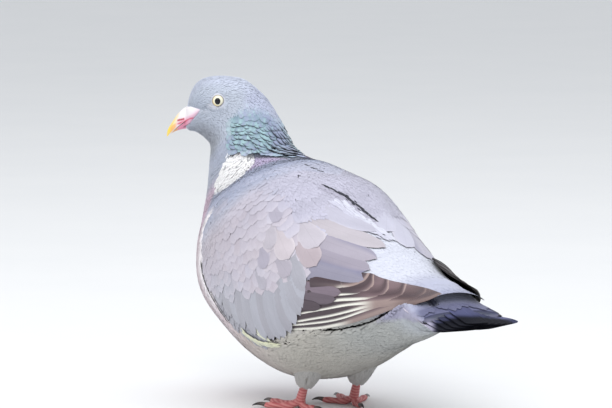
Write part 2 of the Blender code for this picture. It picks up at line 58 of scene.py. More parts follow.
# centre x y z, turn about Z, lean of the cut, upper depth, lower depth, half width, squareness
STATIONS = [
    (42.5, -81.6, 173.4, 62, 88, 7.0, 6.7, 5.8, 2.00), (40.5, -80.6, 176.8, 62, 89, 12.2, 11.0, 9.8, 2.10),
    (37.3, -78.9, 180.2, 62, 90, 15.2, 15.1, 12.4, 2.10), (33.3, -76.7, 181.6, 62, 88, 17.4, 18.9, 14.4, 2.10),
    (28.5, -74.1, 181.6, 62, 81, 19.2, 21.6, 16.0, 2.10), (23.5, -71.3, 180.3, 62, 72, 20.9, 23.2, 17.2, 2.10),
    (19.4, -69.1, 177.5, 62, 64, 23.3, 25.0, 18.5, 2.10), (16.0, -66.9, 172.7, 58, 55, 24.6, 26.4, 20.0, 2.05),
    (13.3, -65.0, 166.1, 52, 47, 26.7, 27.6, 21.8, 2.00), (11.0, -62.9, 157.8, 44, 41, 28.2, 29.4, 24.1, 2.00),
    (9.0, -60.8, 148.3, 33, 37, 29.7, 32.0, 26.9, 2.00), (7.0, -58.2, 138.0, 21, 35, 32.6, 35.6, 31.0, 2.00),
    (3.8, -53.9, 129.0, 10, 34, 42.0, 40.8, 37.3, 2.02), (0.6, -47.3, 119.2, 3, 36, 54.6, 47.8, 45.0, 2.05),
    (0.0, -38.0, 106.5, 0, 40, 66.4, 55.3, 52.8, 2.10), (0.0, -24.5, 93.3, 0, 46, 74.6, 60.5, 58.4, 2.15),
    (0.0, -1.4, 84.2, 0, 54, 73.6, 61.9, 59.8, 2.20), (0.0, 25.4, 76.7, 0, 61, 66.6, 62.9, 59.6, 2.20),
    (0.0, 53.8, 70.8, 0, 66, 56.0, 57.9, 57.0, 2.20), (0.0, 82.9, 73.1, 0, 69, 43.2, 46.2, 49.2, 2.15),
    (0.0, 111.9, 75.3, 0, 72, 31.6, 33.7, 39.4, 2.10), (0.0, 139.7, 76.6, 0, 75, 22.7, 25.1, 30.5, 2.00),
    (0.0, 163.7, 78.9, 0, 78, 14.9, 17.9, 24.4, 2.00), (0.0, 186.0, 78.6, 0, 80, 11.0, 13.0, 24.0, 2.00),
]
TAIL_STATIONS = [
    (0.0, 163.7, 78.9, 0, 78, 13.6, 17.9, 24.4, 2.0), (0.0, 180.0, 76.8, 0, 79, 8.2, 12.4, 25.6, 2.0),
    (0.4, 193.0, 75.0, 0, 80, 5.4, 4.8, 26.8, 2.1), (1.0, 206.0, 73.2, 0, 80, 4.0, 2.2, 28.0, 2.2),
    (1.4, 217.0, 71.6, 0, 80, 3.1, 1.2, 28.8, 2.2),
]
WING_RIM = [
    (13.55, 52), (13.20, 72), (13.75, 86), (14.80, 91), (15.55, 103), (16.35, 114), (17.30, 117), (18.40, 118),
    (19.10, 111), (19.30, 90), (19.55, 65), (20.25, 36), (19.55, 14), (18.40, 3), (17.40, 1), (16.40, 4),
    (15.10, 15), (14.10, 32),
]
WING_CENTRE = (16.8, 62.0)
STATION_STEP, DEGREE_STEP = 17.0, 0.9
PRIMARY_TOP = {1: [(20.25, 37), (20.9, 34), (21.5, 31), (22.1, 28), (22.95, 24)],
               -1: [(20.25, 37), (20.8, 34), (21.3, 36), (21.8, 44), (22.45, 56)]}
PRIMARY_LOW = {1: [(19.15, 110), (19.85, 120), (20.75, 116), (21.75, 91), (22.95, 32)],
               -1: [(19.15, 110), (19.85, 120), (20.6, 116), (21.5, 102), (22.45, 68)]}
PRIMARY_LIFT = {1: 0.0, -1: 1.5}


def through(rows, where):
    """A smooth curve through evenly numbered rows, read at the places in where."""
    rows = np.asarray(rows, float)
    slope = np.gradient(rows, axis=0)
    where = np.clip(np.asarray(where, float), 0, len(rows) - 1)
    base = np.minimum(where.astype(int), len(rows) - 2)
    f = (where - base)[..., None]
    p0, p1, m0, m1 = rows[base], rows[base + 1], slope[base], slope[base + 1]
    return ((2 * f**3 - 3 * f**2 + 1) * p0 + (f**3 - 2 * f**2 + f) * m0
            + (3 * f**2 - 2 * f**3) * p1 + (f**3 - f**2) * m1)


def smooth(low, high, value):
    f = np.clip((np.asarray(value, float) - low) / (high - low), 0, 1)
    return f * f * (3 - 2 * f)


def bell(value, middle, spread):
    return np.exp(-((np.asarray(value, float) - middle) / spread) ** 2)


def body(station, angle, depth=0.0, table=STATIONS):
    """A point of the body: at a station, an angle from the middle of the back, and a depth under the surface."""
    station, angle = np.broadcast_arrays(np.asarray(station, float), np.asarray(angle, float))
    row = through(table, station)
    turn, lean = np.radians(row[..., 3]), np.radians(row[..., 4])
    down = np.stack([np.sin(turn) * np.cos(lean), -np.cos(turn) * np.cos(lean), -np.sin(lean)], -1)
    left = np.stack([np.cos(turn), np.sin(turn), 0 * turn], -1)
    phi = np.radians(angle)
    power = 2 / row[..., 8]
    up_part = np.sign(np.cos(phi)) * np.abs(np.cos(phi)) ** power
    side_part = np.sign(np.sin(phi)) * np.abs(np.sin(phi)) ** power
    upper, lower, half = row[..., 5] - depth, row[..., 6] - depth, row[..., 7] - depth
    drop = np.where(up_part > 0, -upper * up_part, -lower * up_part)
    return row[..., 0:3] + drop[..., None] * down + (half * side_part)[..., None] * left


def rim_radius(bearing):
    rows = sorted((math.degrees(math.atan2((a - WING_CENTRE[1]) * DEGREE_STEP, (s - WING_CENTRE[0]) * STATION_STEP)) % 360,
                   math.hypot((s - WING_CENTRE[0]) * STATION_STEP, (a - WING_CENTRE[1]) * DEGREE_STEP)) for s, a in WING_RIM)
    at = np.array([r[0] for r in rows])
    return np.interp(np.asarray(bearing, float) % 360, at, np.array([r[1] for r in rows]), period=360)


def seam_shift(angle):
    return SEAM * (1 - smooth(12, 60, np.abs(angle)))


def wing_share(station, angle):
    """How far out a place lies on the nearer wing: 0 at its centre and 1 at its rim."""
    x = (np.asarray(station, float) - WING_CENTRE[0]) * STATION_STEP
    y = (np.abs(angle - seam_shift(angle)) - WING_CENTRE[1]) * DEGREE_STEP
    return np.hypot(x, y) / rim_radius(np.degrees(np.arctan2(y, x)))


def primary_edges(side, along):
    return through(PRIMARY_TOP[side], np.asarray(along, float) * 4), through(PRIMARY_LOW[side], np.asarray(along, float) * 4)


def primary_cover(station, angle):
    """1 where the folded flight feathers lie on the body, fading to 0 round them."""
    side = np.where(angle >= 0, 1, -1)
    cover = np.zeros(np.broadcast(station, angle).shape)
    for one in (1, -1):
        top, low = primary_edges(one, np.linspace(0, 1, 60))
        high = np.interp(station, top[:, 0], top[:, 1])
        under = np.interp(station, low[:, 0], low[:, 1])
        inside = np.minimum(np.abs(angle) - (high - 6), (under + 6) - np.abs(angle))
        here = smooth(0, 6, inside) * smooth(18.4, 18.8, station) * (1 - smooth(23.0, 23.4, station))
        cover = np.where(side == one, here, cover)
    return cover


class Surface:
    """A tube-like surface kept as a fine grid, read smoothly at any station and angle."""

    def __init__(self, points, first, last, centres):
        self.first, self.last = first, last
        self.nu, self.nv = points.shape[:2]
        along = np.gradient(points, axis=0) * ((self.nu - 1) / (last - first))
        around = (np.roll(points, -1, 1) - np.roll(points, 1, 1)) * (self.nv / 720.0)
        out = np.cross(along, around)
        out /= np.linalg.norm(out, axis=-1, keepdims=True) + 1e-12
        if np.median((out * (points - centres)).sum(-1)) < 0:
            out = -out
        self.grid = np.concatenate([points, out, along, around], -1)

    def at(self, u, v):
        """Point, outward normal, and how the point moves for one station and for one degree."""
        x = np.clip((np.asarray(u, float) - self.first) / (self.last - self.first) * (self.nu - 1), 0, self.nu - 1.001)
        y = (np.asarray(v, float) % 360.0) / 360.0 * self.nv
        i, j = x.astype(int), y.astype(int)
        fx, fy = (x - i)[..., None], (y - j)[..., None]
        j, k = j % self.nv, (j + 1) % self.nv
        g = self.grid
        row = (g[i, j] * (1 - fx) + g[i + 1, j] * fx) * (1 - fy) + (g[i, k] * (1 - fx) + g[i + 1, k] * fx) * fy
        normal = row[..., 3:6] / (np.linalg.norm(row[..., 3:6], axis=-1, keepdims=True) + 1e-12)
        return row[..., 0:3], normal, row[..., 6:9], row[..., 9:12]


def body_surface(table, last, depth_of=None):
    stations = np.linspace(0, last, int(last * 48) + 1)[:, None]
    angles = (np.arange(720) * 0.5)[None, :]
    signed = np.where(angles > 180, angles - 360, angles)
    depth = depth_of(stations, signed) if depth_of else 0.0
    points = body(stations + 0 * angles, angles + 0 * stations, depth, table)
    return Surface(points, 0.0, last, points.mean(1, keepdims=True))


BODY_TABLE = STATIONS[:23] + TAIL_STATIONS[1:]


def sunk(station, angle):
    """How far the plumage of the body lies under the outline, where a wing or the flight feathers lie on it."""
    share = wing_share(station, angle)
    beside = 1.5 * smooth(0.9, 1.0, share) * (1 - smooth(1.02, 1.16, share)) * smooth(13.6, 14.4, station)
    under = 3.0 * (1 - smooth(0.93, 1.0, share))
    rump = 0.9 * smooth(17.6, 18.6, station) * (1 - smooth(21.4, 22.5, station)) * (1 - smooth(28, 44, np.abs(angle)))
    return np.maximum(np.maximum(beside + 0 * angle, under), np.maximum(rump, 3.2 * primary_cover(station, angle)))


HULL = body_surface(STATIONS, 23.0)              # the outline, with the folded wings
TRUNK = body_surface(BODY_TABLE, 26.0, sunk)     # the body's own plumage, sunk under the wings

# ---------------------------------------------------------------- colours


def lin(r, g, b):
    c = np.array([r, g, b], float) / 255
    return np.where(c <= 0.04045, c / 12.92, ((c + 0.055) / 1.055) ** 2.4)


LIGHT = 0.86             # reflectance of plumage that looks white


def ink(r, g, b):
    return lin(r, g, b) * LIGHT


def mix(colour, other, amount):
    amount = np.asarray(amount, float)[..., None]
    return colour * (1 - amount) + other * amount


TURN = math.radians(HEAD_TURN)
LEFT = np.array([math.cos(TURN), math.sin(TURN), 0.0])
FORWARD = np.array([math.sin(TURN), -math.cos(TURN), 0.0])
UP = np.array([0.0, 0.0, 1.0])
BILL_ROOT = np.array(STATIONS[0][:3], float)


def head_place(points):
    """Forward, left and up of points, from the base of the bill."""
    rel = np.asarray(points, float) - BILL_ROOT
    return rel @ FORWARD, rel @ LEFT, rel @ UP


def side_place(points):
    """Forward and up of points as they lie in a view of the head from a little above its own level."""
    f, l, u = head_place(points)
    return f, u - 0.105 * np.abs(l)


def line_distance(x, y, line):
    """Distance of places from a broken line."""
    best = np.full(np.broadcast(x, y).shape, 1e9)
    for (x0, y0), (x1, y1) in zip(line[:-1], line[1:]):
        dx, dy = x1 - x0, y1 - y0
        share = np.clip(((x - x0) * dx + (y - y0) * dy) / (dx * dx + dy * dy), 0, 1)
        best = np.minimum(best, np.hypot(x - x0 - share * dx, y - y0 - share * dy))
    return best


def inside_by(x, y, ring):
    """How far places lie inside a closed outline: below 0 outside it."""
    x, y = np.broadcast_arrays(np.asarray(x, float), np.asarray(y, float))
    within = np.zeros(x.shape, bool)
    for (x0, y0), (x1, y1) in zip(ring, ring[1:] + ring[:1]):
        if y0 != y1:
            cross = ((y0 > y) != (y1 > y)) & (x < (x1 - x0) * (y - y0) / (y1 - y0) + x0)
            within ^= cross
    return line_distance(x, y, ring + ring[:1]) * np.where(within, 1, -1)


# the bare base of the bill, forward and up of its root
BARE = [(9.0, 8.4), (-0.3, 7.9), (-1.3, 7.45), (-2.8, 7.35), (-5.4, 6.5), (-8.6, 5.3), (-7.6, 3.6), (-6.4, 2.0), (-5.0, 0.6), (-3.6, -1.4),
        (-2.3, -3.0), (0.0, -4.7), (1.5, -5.6), (2.5, -7.0), (6.0, -12.0), (14.0, -12.0), (14.0, 8.4)]
LORAL_LINE = [(-2.6, 8.2), (-3.8, 7.5), (-6.6, 6.9), (-10.4, 6.2), (-13.5, 8.3)]
CREASE = [(-12.6, 7.6), (-14.2, 6.3), (-17.3, 5.0), (-20.5, 5.0), (-24.0, 5.8)]


def painted_face_shade(t, f):
    """Painted shade along the dark line in front of the eye and in the crease under it, and the pale skin between."""
    P = HULL.at(t, f)[0]
    x, y = side_place(P)
    dark = 0.25 * bell(line_distance(x, y, LORAL_LINE), 0, 0.8) + 0.26 * bell(line_distance(x, y, CREASE), 0, 0.6)
    dark = dark + 0.12 * bell(line_distance(x, y, LORAL_LINE), 0, 2.6) * (y > 6)
    pale = 0.6 * bell(line_distance(x, y, [(-15.0, 8.0), (-19.0, 6.8), (-24.0, 7.2)]), 0, 1.1)
    pale = pale + 0.18 * bell(line_distance(x, y, [(-9.5, 4.6), (-14.0, 4.2)]), 0, 1.2)
    return dark, pale


def body_colour(t, f):
    """Plumage of the head, neck, breast, belly, back and rump, by station and angle."""
    t, f = np.broadcast_arrays(np.asarray(t, float), np.asarray(f, float))
    a = np.abs(f)
    c = np.zeros(t.shape + (3,)) + ink(200, 207, 226)
    c = mix(c, ink(193, 201, 216), smooth(25, 62, a))
    c = mix(c, ink(166, 171, 182), smooth(104, 140, a) * smooth(1.0, 4.0, t))
    c = mix(c, ink(182, 191, 208), 0.8 * bell(t, 2.0, 1.3) * bell(a, 76, 24))
    dark, pale = painted_face_shade(np.minimum(t, 7.0), f)
    face = (1 - smooth(6.4, 7.0, t)) * (a < 130)
    c = mix(c, ink(228, 228, 238), pale * face)
    # painted shade along the line in front of the eye and the crease under it
    c = mix(c, ink(92, 104, 122), dark * face)
    c = mix(c, ink(190, 196, 219), smooth(6.3, 7.4, t) * (1 - smooth(40, 70, a)))
    # front of the neck, then the pink-mauve of the breast, then greyer over the belly, partly its own grey and partly
    # painted shade of the underside
    c = mix(c, ink(176, 183, 202), smooth(7.0, 8.6, t) * smooth(84, 100, a))
    c = mix(c, ink(208, 178, 200), smooth(10.2, 12.2, t) * smooth(70, 100, a))
    c = mix(c, ink(216, 182, 190), smooth(13.0, 15.0, t) * smooth(80, 100, a))
    c = mix(c, ink(212, 198, 194), smooth(15.4, 17.0, t) * smooth(92, 112, a))
    c = mix(c, ink(196, 192, 184), smooth(17.0, 18.6, t) * smooth(92, 112, a))
    c = mix(c, ink(186, 188, 186), smooth(19.0, 20.6, t) * smooth(92, 112, a))
    c = mix(c, ink(192, 198, 206), smooth(21.2, 22.4, t) * smooth(92, 112, a))
    # green sides of the neck
    top = np.interp(a, [0, 28, 54, 82, 98], [9.5, 8.4, 7.6, 6.7, 7.9])
    end = np.interp(a, [0, 7, 23, 51, 70, 85, 98], [12.2, 12.1, 11.3, 10.5, 9.85, 9.5, 8.8])
    green = smooth(top - 0.3, top + 0.7, t) * (1 - smooth(end - 0.2, end + 0.3, t)) * (1 - smooth(94, 106, a))
    c = mix(c, ink(150, 174, 190), green)
    # mauve at the foot of the hind neck, then the blue-grey edge of the mantle
    mauve = smooth(10.9, 11.6, t + a * 0.004) * (1 - smooth(12.4, 12.8, t)) * (1 - smooth(44, 60, a))
    c = mix(c, ink(188, 174, 208), mauve * (1 - green))
    band = smooth(12.0, 12.4, t) * (1 - smooth(13.0, 14.2, t)) * (1 - smooth(86, 96, a))
    c = mix(c, ink(154, 161, 187), band)
    mantle = smooth(12.8, 14.0, t) * (1 - smooth(70, 84, a))
    c = mix(c, ink(187, 189, 210), mantle)
    c = mix(c, ink(205, 205, 223), smooth(14.6, 16.4, t) * (1 - smooth(40, 60, a)))
    # the sides under the folded flight feathers and beside the tail
    c = mix(c, ink(196, 195, 203), smooth(17.4, 19.0, t) * smooth(68, 82, a) * (1 - smooth(100, 116, a)))
    c = mix(c, ink(172, 170, 196), smooth(20.8, 21.7, t) * smooth(50, 62, a) * (1 - smooth(106, 120, a)))
    # rump and upper tail coverts
    c = mix(c, ink(216, 219, 233), smooth(17.5 + 0.5 * (a < 16), 18.6 + 0.4 * (a < 16), t) * (1 - smooth(56, 84, a)))
    c = mix(c, ink(184, 187, 209), smooth(20.9, 22.0, t) * (1 - smooth(56, 84, a)))
    c = mix(c, ink(156, 159, 187), smooth(22.4, 23.2, t) * (1 - smooth(60, 90, a)))
    c = mix(c, ink(96, 98, 132), smooth(23.0, 23.7, t) * (1 - smooth(60, 90, a)))
    # the pale line in front of the wing, partly its own pale edge and partly painted light, and a wider painted light
    # on the breast round it; both are stronger on the left side, where the light falls
    share = wing_share(t, f)
    c = mix(c, ink(240, 225, 232), (0.75 - 0.45 * (f < 0)) * (1 - smooth(1.3, 1.8, share)) * smooth(78, 84, a) * smooth(13.4, 14.2, t) * (1 - smooth(16.2, 17.4, t)))
    c = mix(c, ink(252, 246, 250) * 1.08, (1 - 0.5 * (f < 0)) * (1 - smooth(1.08, 1.26, share)) * smooth(78, 84, a) * smooth(13.1, 13.6, t) * (1 - smooth(15.6, 16.4, t)))
    # white neck patch
    start = np.interp(a, [41, 49.5, 69.5, 85, 98, 104], [11.7, 10.65, 9.9, 9.6, 9.75, 11.1])
    stop = np.interp(a, [42, 55, 69, 86, 104], [11.7, 12.5, 12.7, 12.4, 11.0])
    start = start + 0.16 * np.sin(a * 0.9 + 1.0) + 0.1 * np.sin(a * 2.1)
    white = smooth(start - 0.12, start + 0.12, t) * (1 - smooth(stop - 0.12, stop + 0.12, t)) * smooth(42, 46, a) * (1 - smooth(100, 105, a))
    c = mix(c, ink(255, 254, 255) * 1.09, white)
    return c


def wing_colour(t, a):
    """Coverts of a folded wing, by station and angle from the seam."""
    t, a = np.broadcast_arrays(np.asarray(t, float), np.asarray(a, float))
    c = np.zeros(t.shape + (3,)) + ink(196, 190, 203)
    c = mix(c, ink(192, 190, 208), 1 - smooth(34, 56, a))
    c = mix(c, ink(200, 202, 219), (1 - smooth(13.8, 15.2, t + 0.012 * (62 - a))))
    c = mix(c, ink(164, 171, 196), 1 - smooth(13.5, 14.8, t + 0.004 * (62 - a)))
    c = mix(c, ink(182, 175, 189), 0.8 * bell(t, 15.9, 0.5) * bell(a, 58, 10))
    c = mix(c, ink(190, 181, 190), 0.75 * bell(t, 15.1, 0.8) * bell(a, 84, 12))
    c = mix(c, ink(196, 187, 194), 0.6 * bell(t, 17.6, 0.9) * bell(a, 66, 12))
    c = mix(c, ink(184, 184, 196), smooth(86, 100, a) * smooth(15.6, 16.6, t))
    return c


# ---------------------------------------------------------------- meshes
def unit(v):
    return v / (np.linalg.norm(v, axis=-1, keepdims=True) + 1e-12)


def place(points):
    return (np.asarray(points, float) - np.array([0, CENTRE_Y, 0])) * 0.001


def quick_mesh(name, points, triangles, tint=None, vane=None, bake=None, sharp=55, lie=None, level=0.8):
    """A mesh from arrays: points in millimetres, triangles, a colour per point, and two maps per corner. lie holds the
    body's own normals, which the shading follows by the share in level, as fine barbs do."""
    mesh = bpy.data.meshes.new(name)
    points, triangles = np.asarray(points, float), np.asarray(triangles, np.int32)
    mesh.vertices.add(len(points))
    mesh.vertices.foreach_set("co", place(points).astype(np.float32).ravel())
    mesh.loops.add(triangles.size)
    mesh.loops.foreach_set("vertex_index", triangles.ravel())
    mesh.polygons.add(len(triangles))
    mesh.polygons.foreach_set("loop_start", np.arange(0, triangles.size, 3, dtype=np.int32))
    mesh.update(calc_edges=True)
    if tint is not None:
        layer = mesh.color_attributes.new("tint", "FLOAT_COLOR", "POINT")
        rgba = np.ones((len(points), 4), np.float32)
        rgba[:, :3] = np.clip(tint, 0, 1)
        layer.data.foreach_set("color", rgba.ravel())
    for label, values in (("OFBake", bake), ("vane", vane)):
        if values is not None:
            layer = mesh.uv_layers.new(name=label)
            layer.data.foreach_set("uv", np.asarray(values, np.float32)[triangles.ravel()].ravel())
    mesh.shade_smooth()
    if lie is not None:
        own = np.zeros(len(points) * 3, np.float32)
        mesh.vertex_normals.foreach_get("vector", own)
        blend = unit(own.reshape(-1, 3) * (1 - level) + np.asarray(lie) * level)
        mesh.normals_split_custom_set_from_vertices(blend.astype(np.float32))
    elif sharp:
        mesh.set_sharp_from_angle(angle=math.radians(sharp))
    thing = bpy.data.objects.new(name, mesh)
    bpy.context.scene.collection.objects.link(thing)
    return thing


class Coat:
    """Vanes gathered for one piece."""

    def __init__(self):
        self.points, self.triangles, self.tint, self.vane, self.bake, self.lie, self.count = [], [], [], [], [], [], 0

    def take(self, points, triangles, tint, vane, bake, lie):
        self.points.append(points), self.tint.append(tint), self.vane.append(vane), self.bake.append(bake)
        self.lie.append(lie)
        self.triangles.append(triangles + self.count)
        self.count += len(points)

    def make(self, name, finish, level=0.8):
        thing = quick_mesh(name, np.concatenate(self.points), np.concatenate(self.triangles), np.concatenate(self.tint),
                           np.concatenate(self.vane), np.concatenate(self.bake), lie=np.concatenate(self.lie), level=level)
        thing.data.materials.append(finish)
        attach(thing, "root")
        print(name, len(thing.data.polygons), "triangles")
        return thing


def template(rows, cols):
    """Triangles of one vane: a root point, rows of cols points, and a tip point, closed underneath."""
    tris = []
    for j in range(cols - 1):
        tris.append((0, 1 + j + 1, 1 + j))
    tris.append((0, 1, cols))
    for i in range(rows - 1):
        a, b = 1 + i * cols, 1 + (i + 1) * cols
        for j in range(cols - 1):
            tris += [(a + j, a + j + 1, b + j + 1), (a + j, b + j + 1, b + j)]
        tris += [(a, b, b + cols - 1), (a, b + cols - 1, a + cols - 1)]
    last, tip = 1 + (rows - 1) * cols, 1 + rows * cols
    for j in range(cols - 1):
        tris.append((tip, last + j, last + j + 1))
    tris.append((tip, last + cols - 1, last))
    return np.array(tris, np.int32)


def advance(along, around, move):
    """The change of station and of angle that makes a small move in the surface."""
    aa, ab, bb = (along * along).sum(-1), (along * around).sum(-1), (around * around).sum(-1)
    ra, rb = (along * move).sum(-1), (around * move).sum(-1)
    det = aa * bb - ab * ab + 1e-9
    return (ra * bb - rb * ab) / det, (rb * aa - ra * ab) / det


SHAPES = {   # half width at shares of the length
    "scale": ([0, 0.18, 0.42, 0.66, 0.84, 0.95, 1.0], [0.25, 0.62, 0.92, 1.0, 0.82, 0.45, 0.0]),
    "soft": ([0, 0.2, 0.45, 0.7, 0.88, 1.0], [0.35, 0.75, 1.0, 0.95, 0.6, 0.0]),
    "hair": ([0, 0.3, 0.6, 0.85, 1.0], [0.5, 1.0, 0.9, 0.5, 0.0]),
    "round": ([0, 0.2, 0.45, 0.7, 0.82, 0.9, 0.955, 0.985, 1.0], [0.3, 0.62, 0.92, 1.0, 0.93, 0.78, 0.56, 0.33, 0.0]),
    "long": ([0, 0.12, 0.4, 0.75, 0.9, 0.97, 1.0], [0.4, 0.75, 1.0, 0.98, 0.78, 0.42, 0.0]),
}


def vanes(coat, surface, u, v, theta, length, width, lift0, lift1, colour, rows=3, cols=3, shape="soft", camber=0.06,
          seed=1, steps=None, bend=0.0, ragged=0.0, curl=0.0, rise=1.0):
    """Lays feathers on a surface. Each runs from its root at station u and angle v, turned theta degrees from the
    lie towards the larger angle. colour(share, across, t, f, pick) gives the colour of every point."""
    rng = np.random.default_rng(seed)
    n = len(u)
    if n == 0:
        return
    full = lambda x: np.broadcast_to(np.asarray(x, float), (n,)).copy()
    u, v, theta, length, width, lift0, lift1, bend = (full(x) for x in (u, v, theta, length, width, lift0, lift1, bend))
    if steps is None:
        steps = {1: [0.62], 2: [0.35, 0.8], 3: [0.25, 0.62, 0.88], 4: [0.18, 0.45, 0.72, 0.92],
                 5: [0.14, 0.36, 0.6, 0.8, 0.94], 7: [0.15, 0.42, 0.68, 0.82, 0.91, 0.965, 0.99]}.get(rows) or list(np.linspace(0.1, 0.965, rows) ** 0.9)
    steps = np.array(steps)
    across = np.linspace(-1, 1, cols)
    at_shape, half_shape = SHAPES[shape]
    half = np.interp(steps, at_shape, half_shape)
    P, N, A, B = surface.at(u, v)
    e1 = unit(A)
    e2 = unit(B - (B * e1).sum(-1, keepdims=True) * e1)
    turn = np.radians(theta)[:, None]
    D = np.cos(turn) * e1 + np.sin(turn) * e2
    cu, cv = u.copy(), v.copy()
    made, mu, mv, ms, mx, mn = [], [], [], [], [], []

    def put(pu, pv, share, x, P, N):
        height = lift0 + (lift1 - lift0) * share ** rise + curl * np.maximum(share - 0.6, 0) ** 2 * length
        if x is not None:
            height = height + camber * width * (1 - x * x) * min(1.0, 4 * share * (1.15 - share))
        made.append(P + N * height[:, None]); mu.append(pu); mv.append(pv); mn.append(N)
        ms.append(np.full(n, share)); mx.append(np.full(n, 0.0 if x is None else x))

    put(cu, cv, 0.0, None, P, N)
    before = 0.0
    for i, share in enumerate(list(steps) + [1.0]):
        hops = 1 if (share - before) * float(length.max()) < 12 else 3
        for _ in range(hops):
            move = D * ((share - before) / hops * length)[:, None]
            du, dv = advance(A, B, move)
            cu, cv = cu + du, cv + dv
            P, N, A, B = surface.at(cu, cv)
            D = unit(D - (D * N).sum(-1, keepdims=True) * N)
            if bend.any():
                swing = np.radians(bend * (share - before) / hops)[:, None]
                D = np.cos(swing) * D + np.sin(swing) * np.cross(D, N)
        before = share
        if share == 1.0:
            put(cu, cv, 1.0, None, P, N)
            break
        side = np.cross(D, N)
        for x in across:
            reach = x * half[i] * width / 2
            if ragged and abs(x) == 1:
                reach = reach * (1 + ragged * (rng.random(n) - 0.5))
            back = -0.10 * width * (x * x) * share      # the sides of a rounded tip lie a little behind its middle
            du, dv = advance(A, B, side * reach[:, None] + D * back[:, None])
            pu, pv = cu + du, cv + dv
            Q, M, _, _ = surface.at(pu, pv)
            put(pu, pv, share, x, Q, M)
    # order the points feather by feather
    made, mu, mv = np.stack(made, 1), np.stack(mu, 1), np.stack(mv, 1)
    ms, mx = np.stack(ms, 1), np.stack(mx, 1)
    m = made.shape[1]
    pick = rng.random(n)
    tint = colour(ms, mx, mu, mv, pick[:, None] + 0 * ms)
    tri = template(len(steps), cols)
    triangles = (tri[None] + (np.arange(n) * m)[:, None, None]).reshape(-1, 3)
    widths = mx * np.concatenate([[0.0], np.repeat(half, cols), [0.0]])[None] * width[:, None] / 2
    vane = np.stack([widths, ms * length[:, None] + 97.0 * rng.random(n)[:, None]], -1)
    root_u, root_v = (u - surface.first) / (surface.last - surface.first), ((v + 180) % 360) / 360
    bake = np.stack([0.004 + 0.992 * root_v[:, None] + 0.0015 * mx, 0.004 + 0.99 * root_u[:, None] + 0.003 * (ms - 0.5)], -1)
    coat.take(made.reshape(-1, 3), triangles, tint.reshape(-1, 3), vane.reshape(-1, 2), np.clip(bake, 0, 1).reshape(-1, 2),
              np.stack(mn, 1).reshape(-1, 3))


def scatter(surface, us, vs, radius, keep, seed, over=4.5):
    """Places spread evenly, no two nearer than radius(u, v) millimetres, where keep(u, v) holds."""
    rng = np.random.default_rng(seed)
    nu, nv = 160, 160
    gu = np.linspace(us[0], us[1], nu + 1)
    gv = np.linspace(vs[0], vs[1], nv + 1)
    mu, mv = np.meshgrid((gu[1:] + gu[:-1]) / 2, (gv[1:] + gv[:-1]) / 2, indexing="ij")
    _, _, A, B = surface.at(mu, mv)
    area = np.linalg.norm(np.cross(A, B), axis=-1) * (gu[1] - gu[0]) * (gv[1] - gv[0])
    dens = area / radius(mu, mv) ** 2 * keep(mu, mv)
    total = float(dens.sum())
    if total <= 0:
        return np.zeros(0), np.zeros(0)
    n = int(over * total)
    cell = rng.choice(nu * nv, size=n, p=(dens / total).ravel())
    u = mu.ravel()[cell] + (rng.random(n) - 0.5) * (gu[1] - gu[0])
    v = mv.ravel()[cell] + (rng.random(n) - 0.5) * (gv[1] - gv[0])
    P = surface.at(u, v)[0]
    r = radius(u, v)
    tree = kdtree.KDTree(n)
    for i in range(n):
        tree.insert(P[i], i)
    tree.balance()
    gone = np.zeros(n, bool)
    kept = []
    for i in range(n):
        if gone[i]:
            continue
        kept.append(i)
        gone[[j for _, j, _ in tree.find_range(P[i], r[i])]] = True
    return u[kept], v[kept]


def shade(c, amount):
    return c * np.asarray(amount)[..., None]


def wave_noise(x, y, seed):
    """A cheap smooth noise between -1 and 1."""
    rng = np.random.default_rng(seed)
    total = 0
    for k in range(5):
        fx, fy, ph = rng.normal(0, 1, 3)
        total = total + np.sin(x * fx * (1 + k * 0.7) + y * fy * (1 + k * 0.7) + ph * 6) / (1 + 0.5 * k)
    return total / 2.6




class Cells:
    """Large feathers that show only as soft patches of tone under finer ones: each place belongs to one."""

    def __init__(self, surface, us, vs, size, seed):
        self.surface, self.size = surface, size
        self.u, self.v = scatter(surface, us, vs, lambda t, f: size + 0 * t, lambda t, f: 1.0 + 0 * t, seed, over=3)
        self.P, _, A, _ = surface.at(self.u, self.v)
        self.along = unit(A)
        self.tone = np.random.default_rng(seed + 1).random(len(self.u))
        self.tree = kdtree.KDTree(len(self.u))
        for i, p in enumerate(self.P):
            self.tree.insert(p, i)
        self.tree.balance()

    def read(self, u, v):
        """Tone of the feather each place belongs to, and how far towards its tip the place lies, from -1 to 1."""
        P = self.surface.at(u, v)[0]
        _, _, A, _ = self.surface.at(u, v)
        which = np.array([self.tree.find(p)[1] for p in P - unit(A) * self.size * 0.35])
        rel = P - self.P[which]
        return self.tone[which], (rel * self.along[which]).sum(-1) / self.size
# ---------------------------------------------------------------- materials
def new_material(name):
    made = bpy.data.materials.new(name)
    made.use_nodes = True
    tree = made.node_tree
    return made, tree, tree.nodes["Principled BSDF"]


def math_node(tree, kind, a, b=None, clamp=False):
    node = tree.nodes.new("ShaderNodeMath")
    node.operation = kind
    node.use_clamp = clamp
    for i, value in enumerate((a, b)):
        if value is None:
            continue
        if isinstance(value, (int, float)):
            node.inputs[i].default_value = value
        else:
            tree.links.new(value, node.inputs[i])
    return node.outputs[0]


def noise_node(tree, vector, scale, detail=2.0, rough=0.5):
    node = tree.nodes.new("ShaderNodeTexNoise")
    node.inputs["Scale"].default_value = scale
    node.inputs["Detail"].default_value = detail
    node.inputs["Roughness"].default_value = rough
    tree.links.new(vector, node.inputs["Vector"])
    return node.outputs[0]


def combine(tree, x, y, z=0.0):
    node = tree.nodes.new("ShaderNodeCombineXYZ")
    for i, value in enumerate((x, y, z)):
        if isinstance(value, (int, float)):
            node.inputs[i].default_value = value
        else:
            tree.links.new(value, node.inputs[i])
    return node.outputs[0]


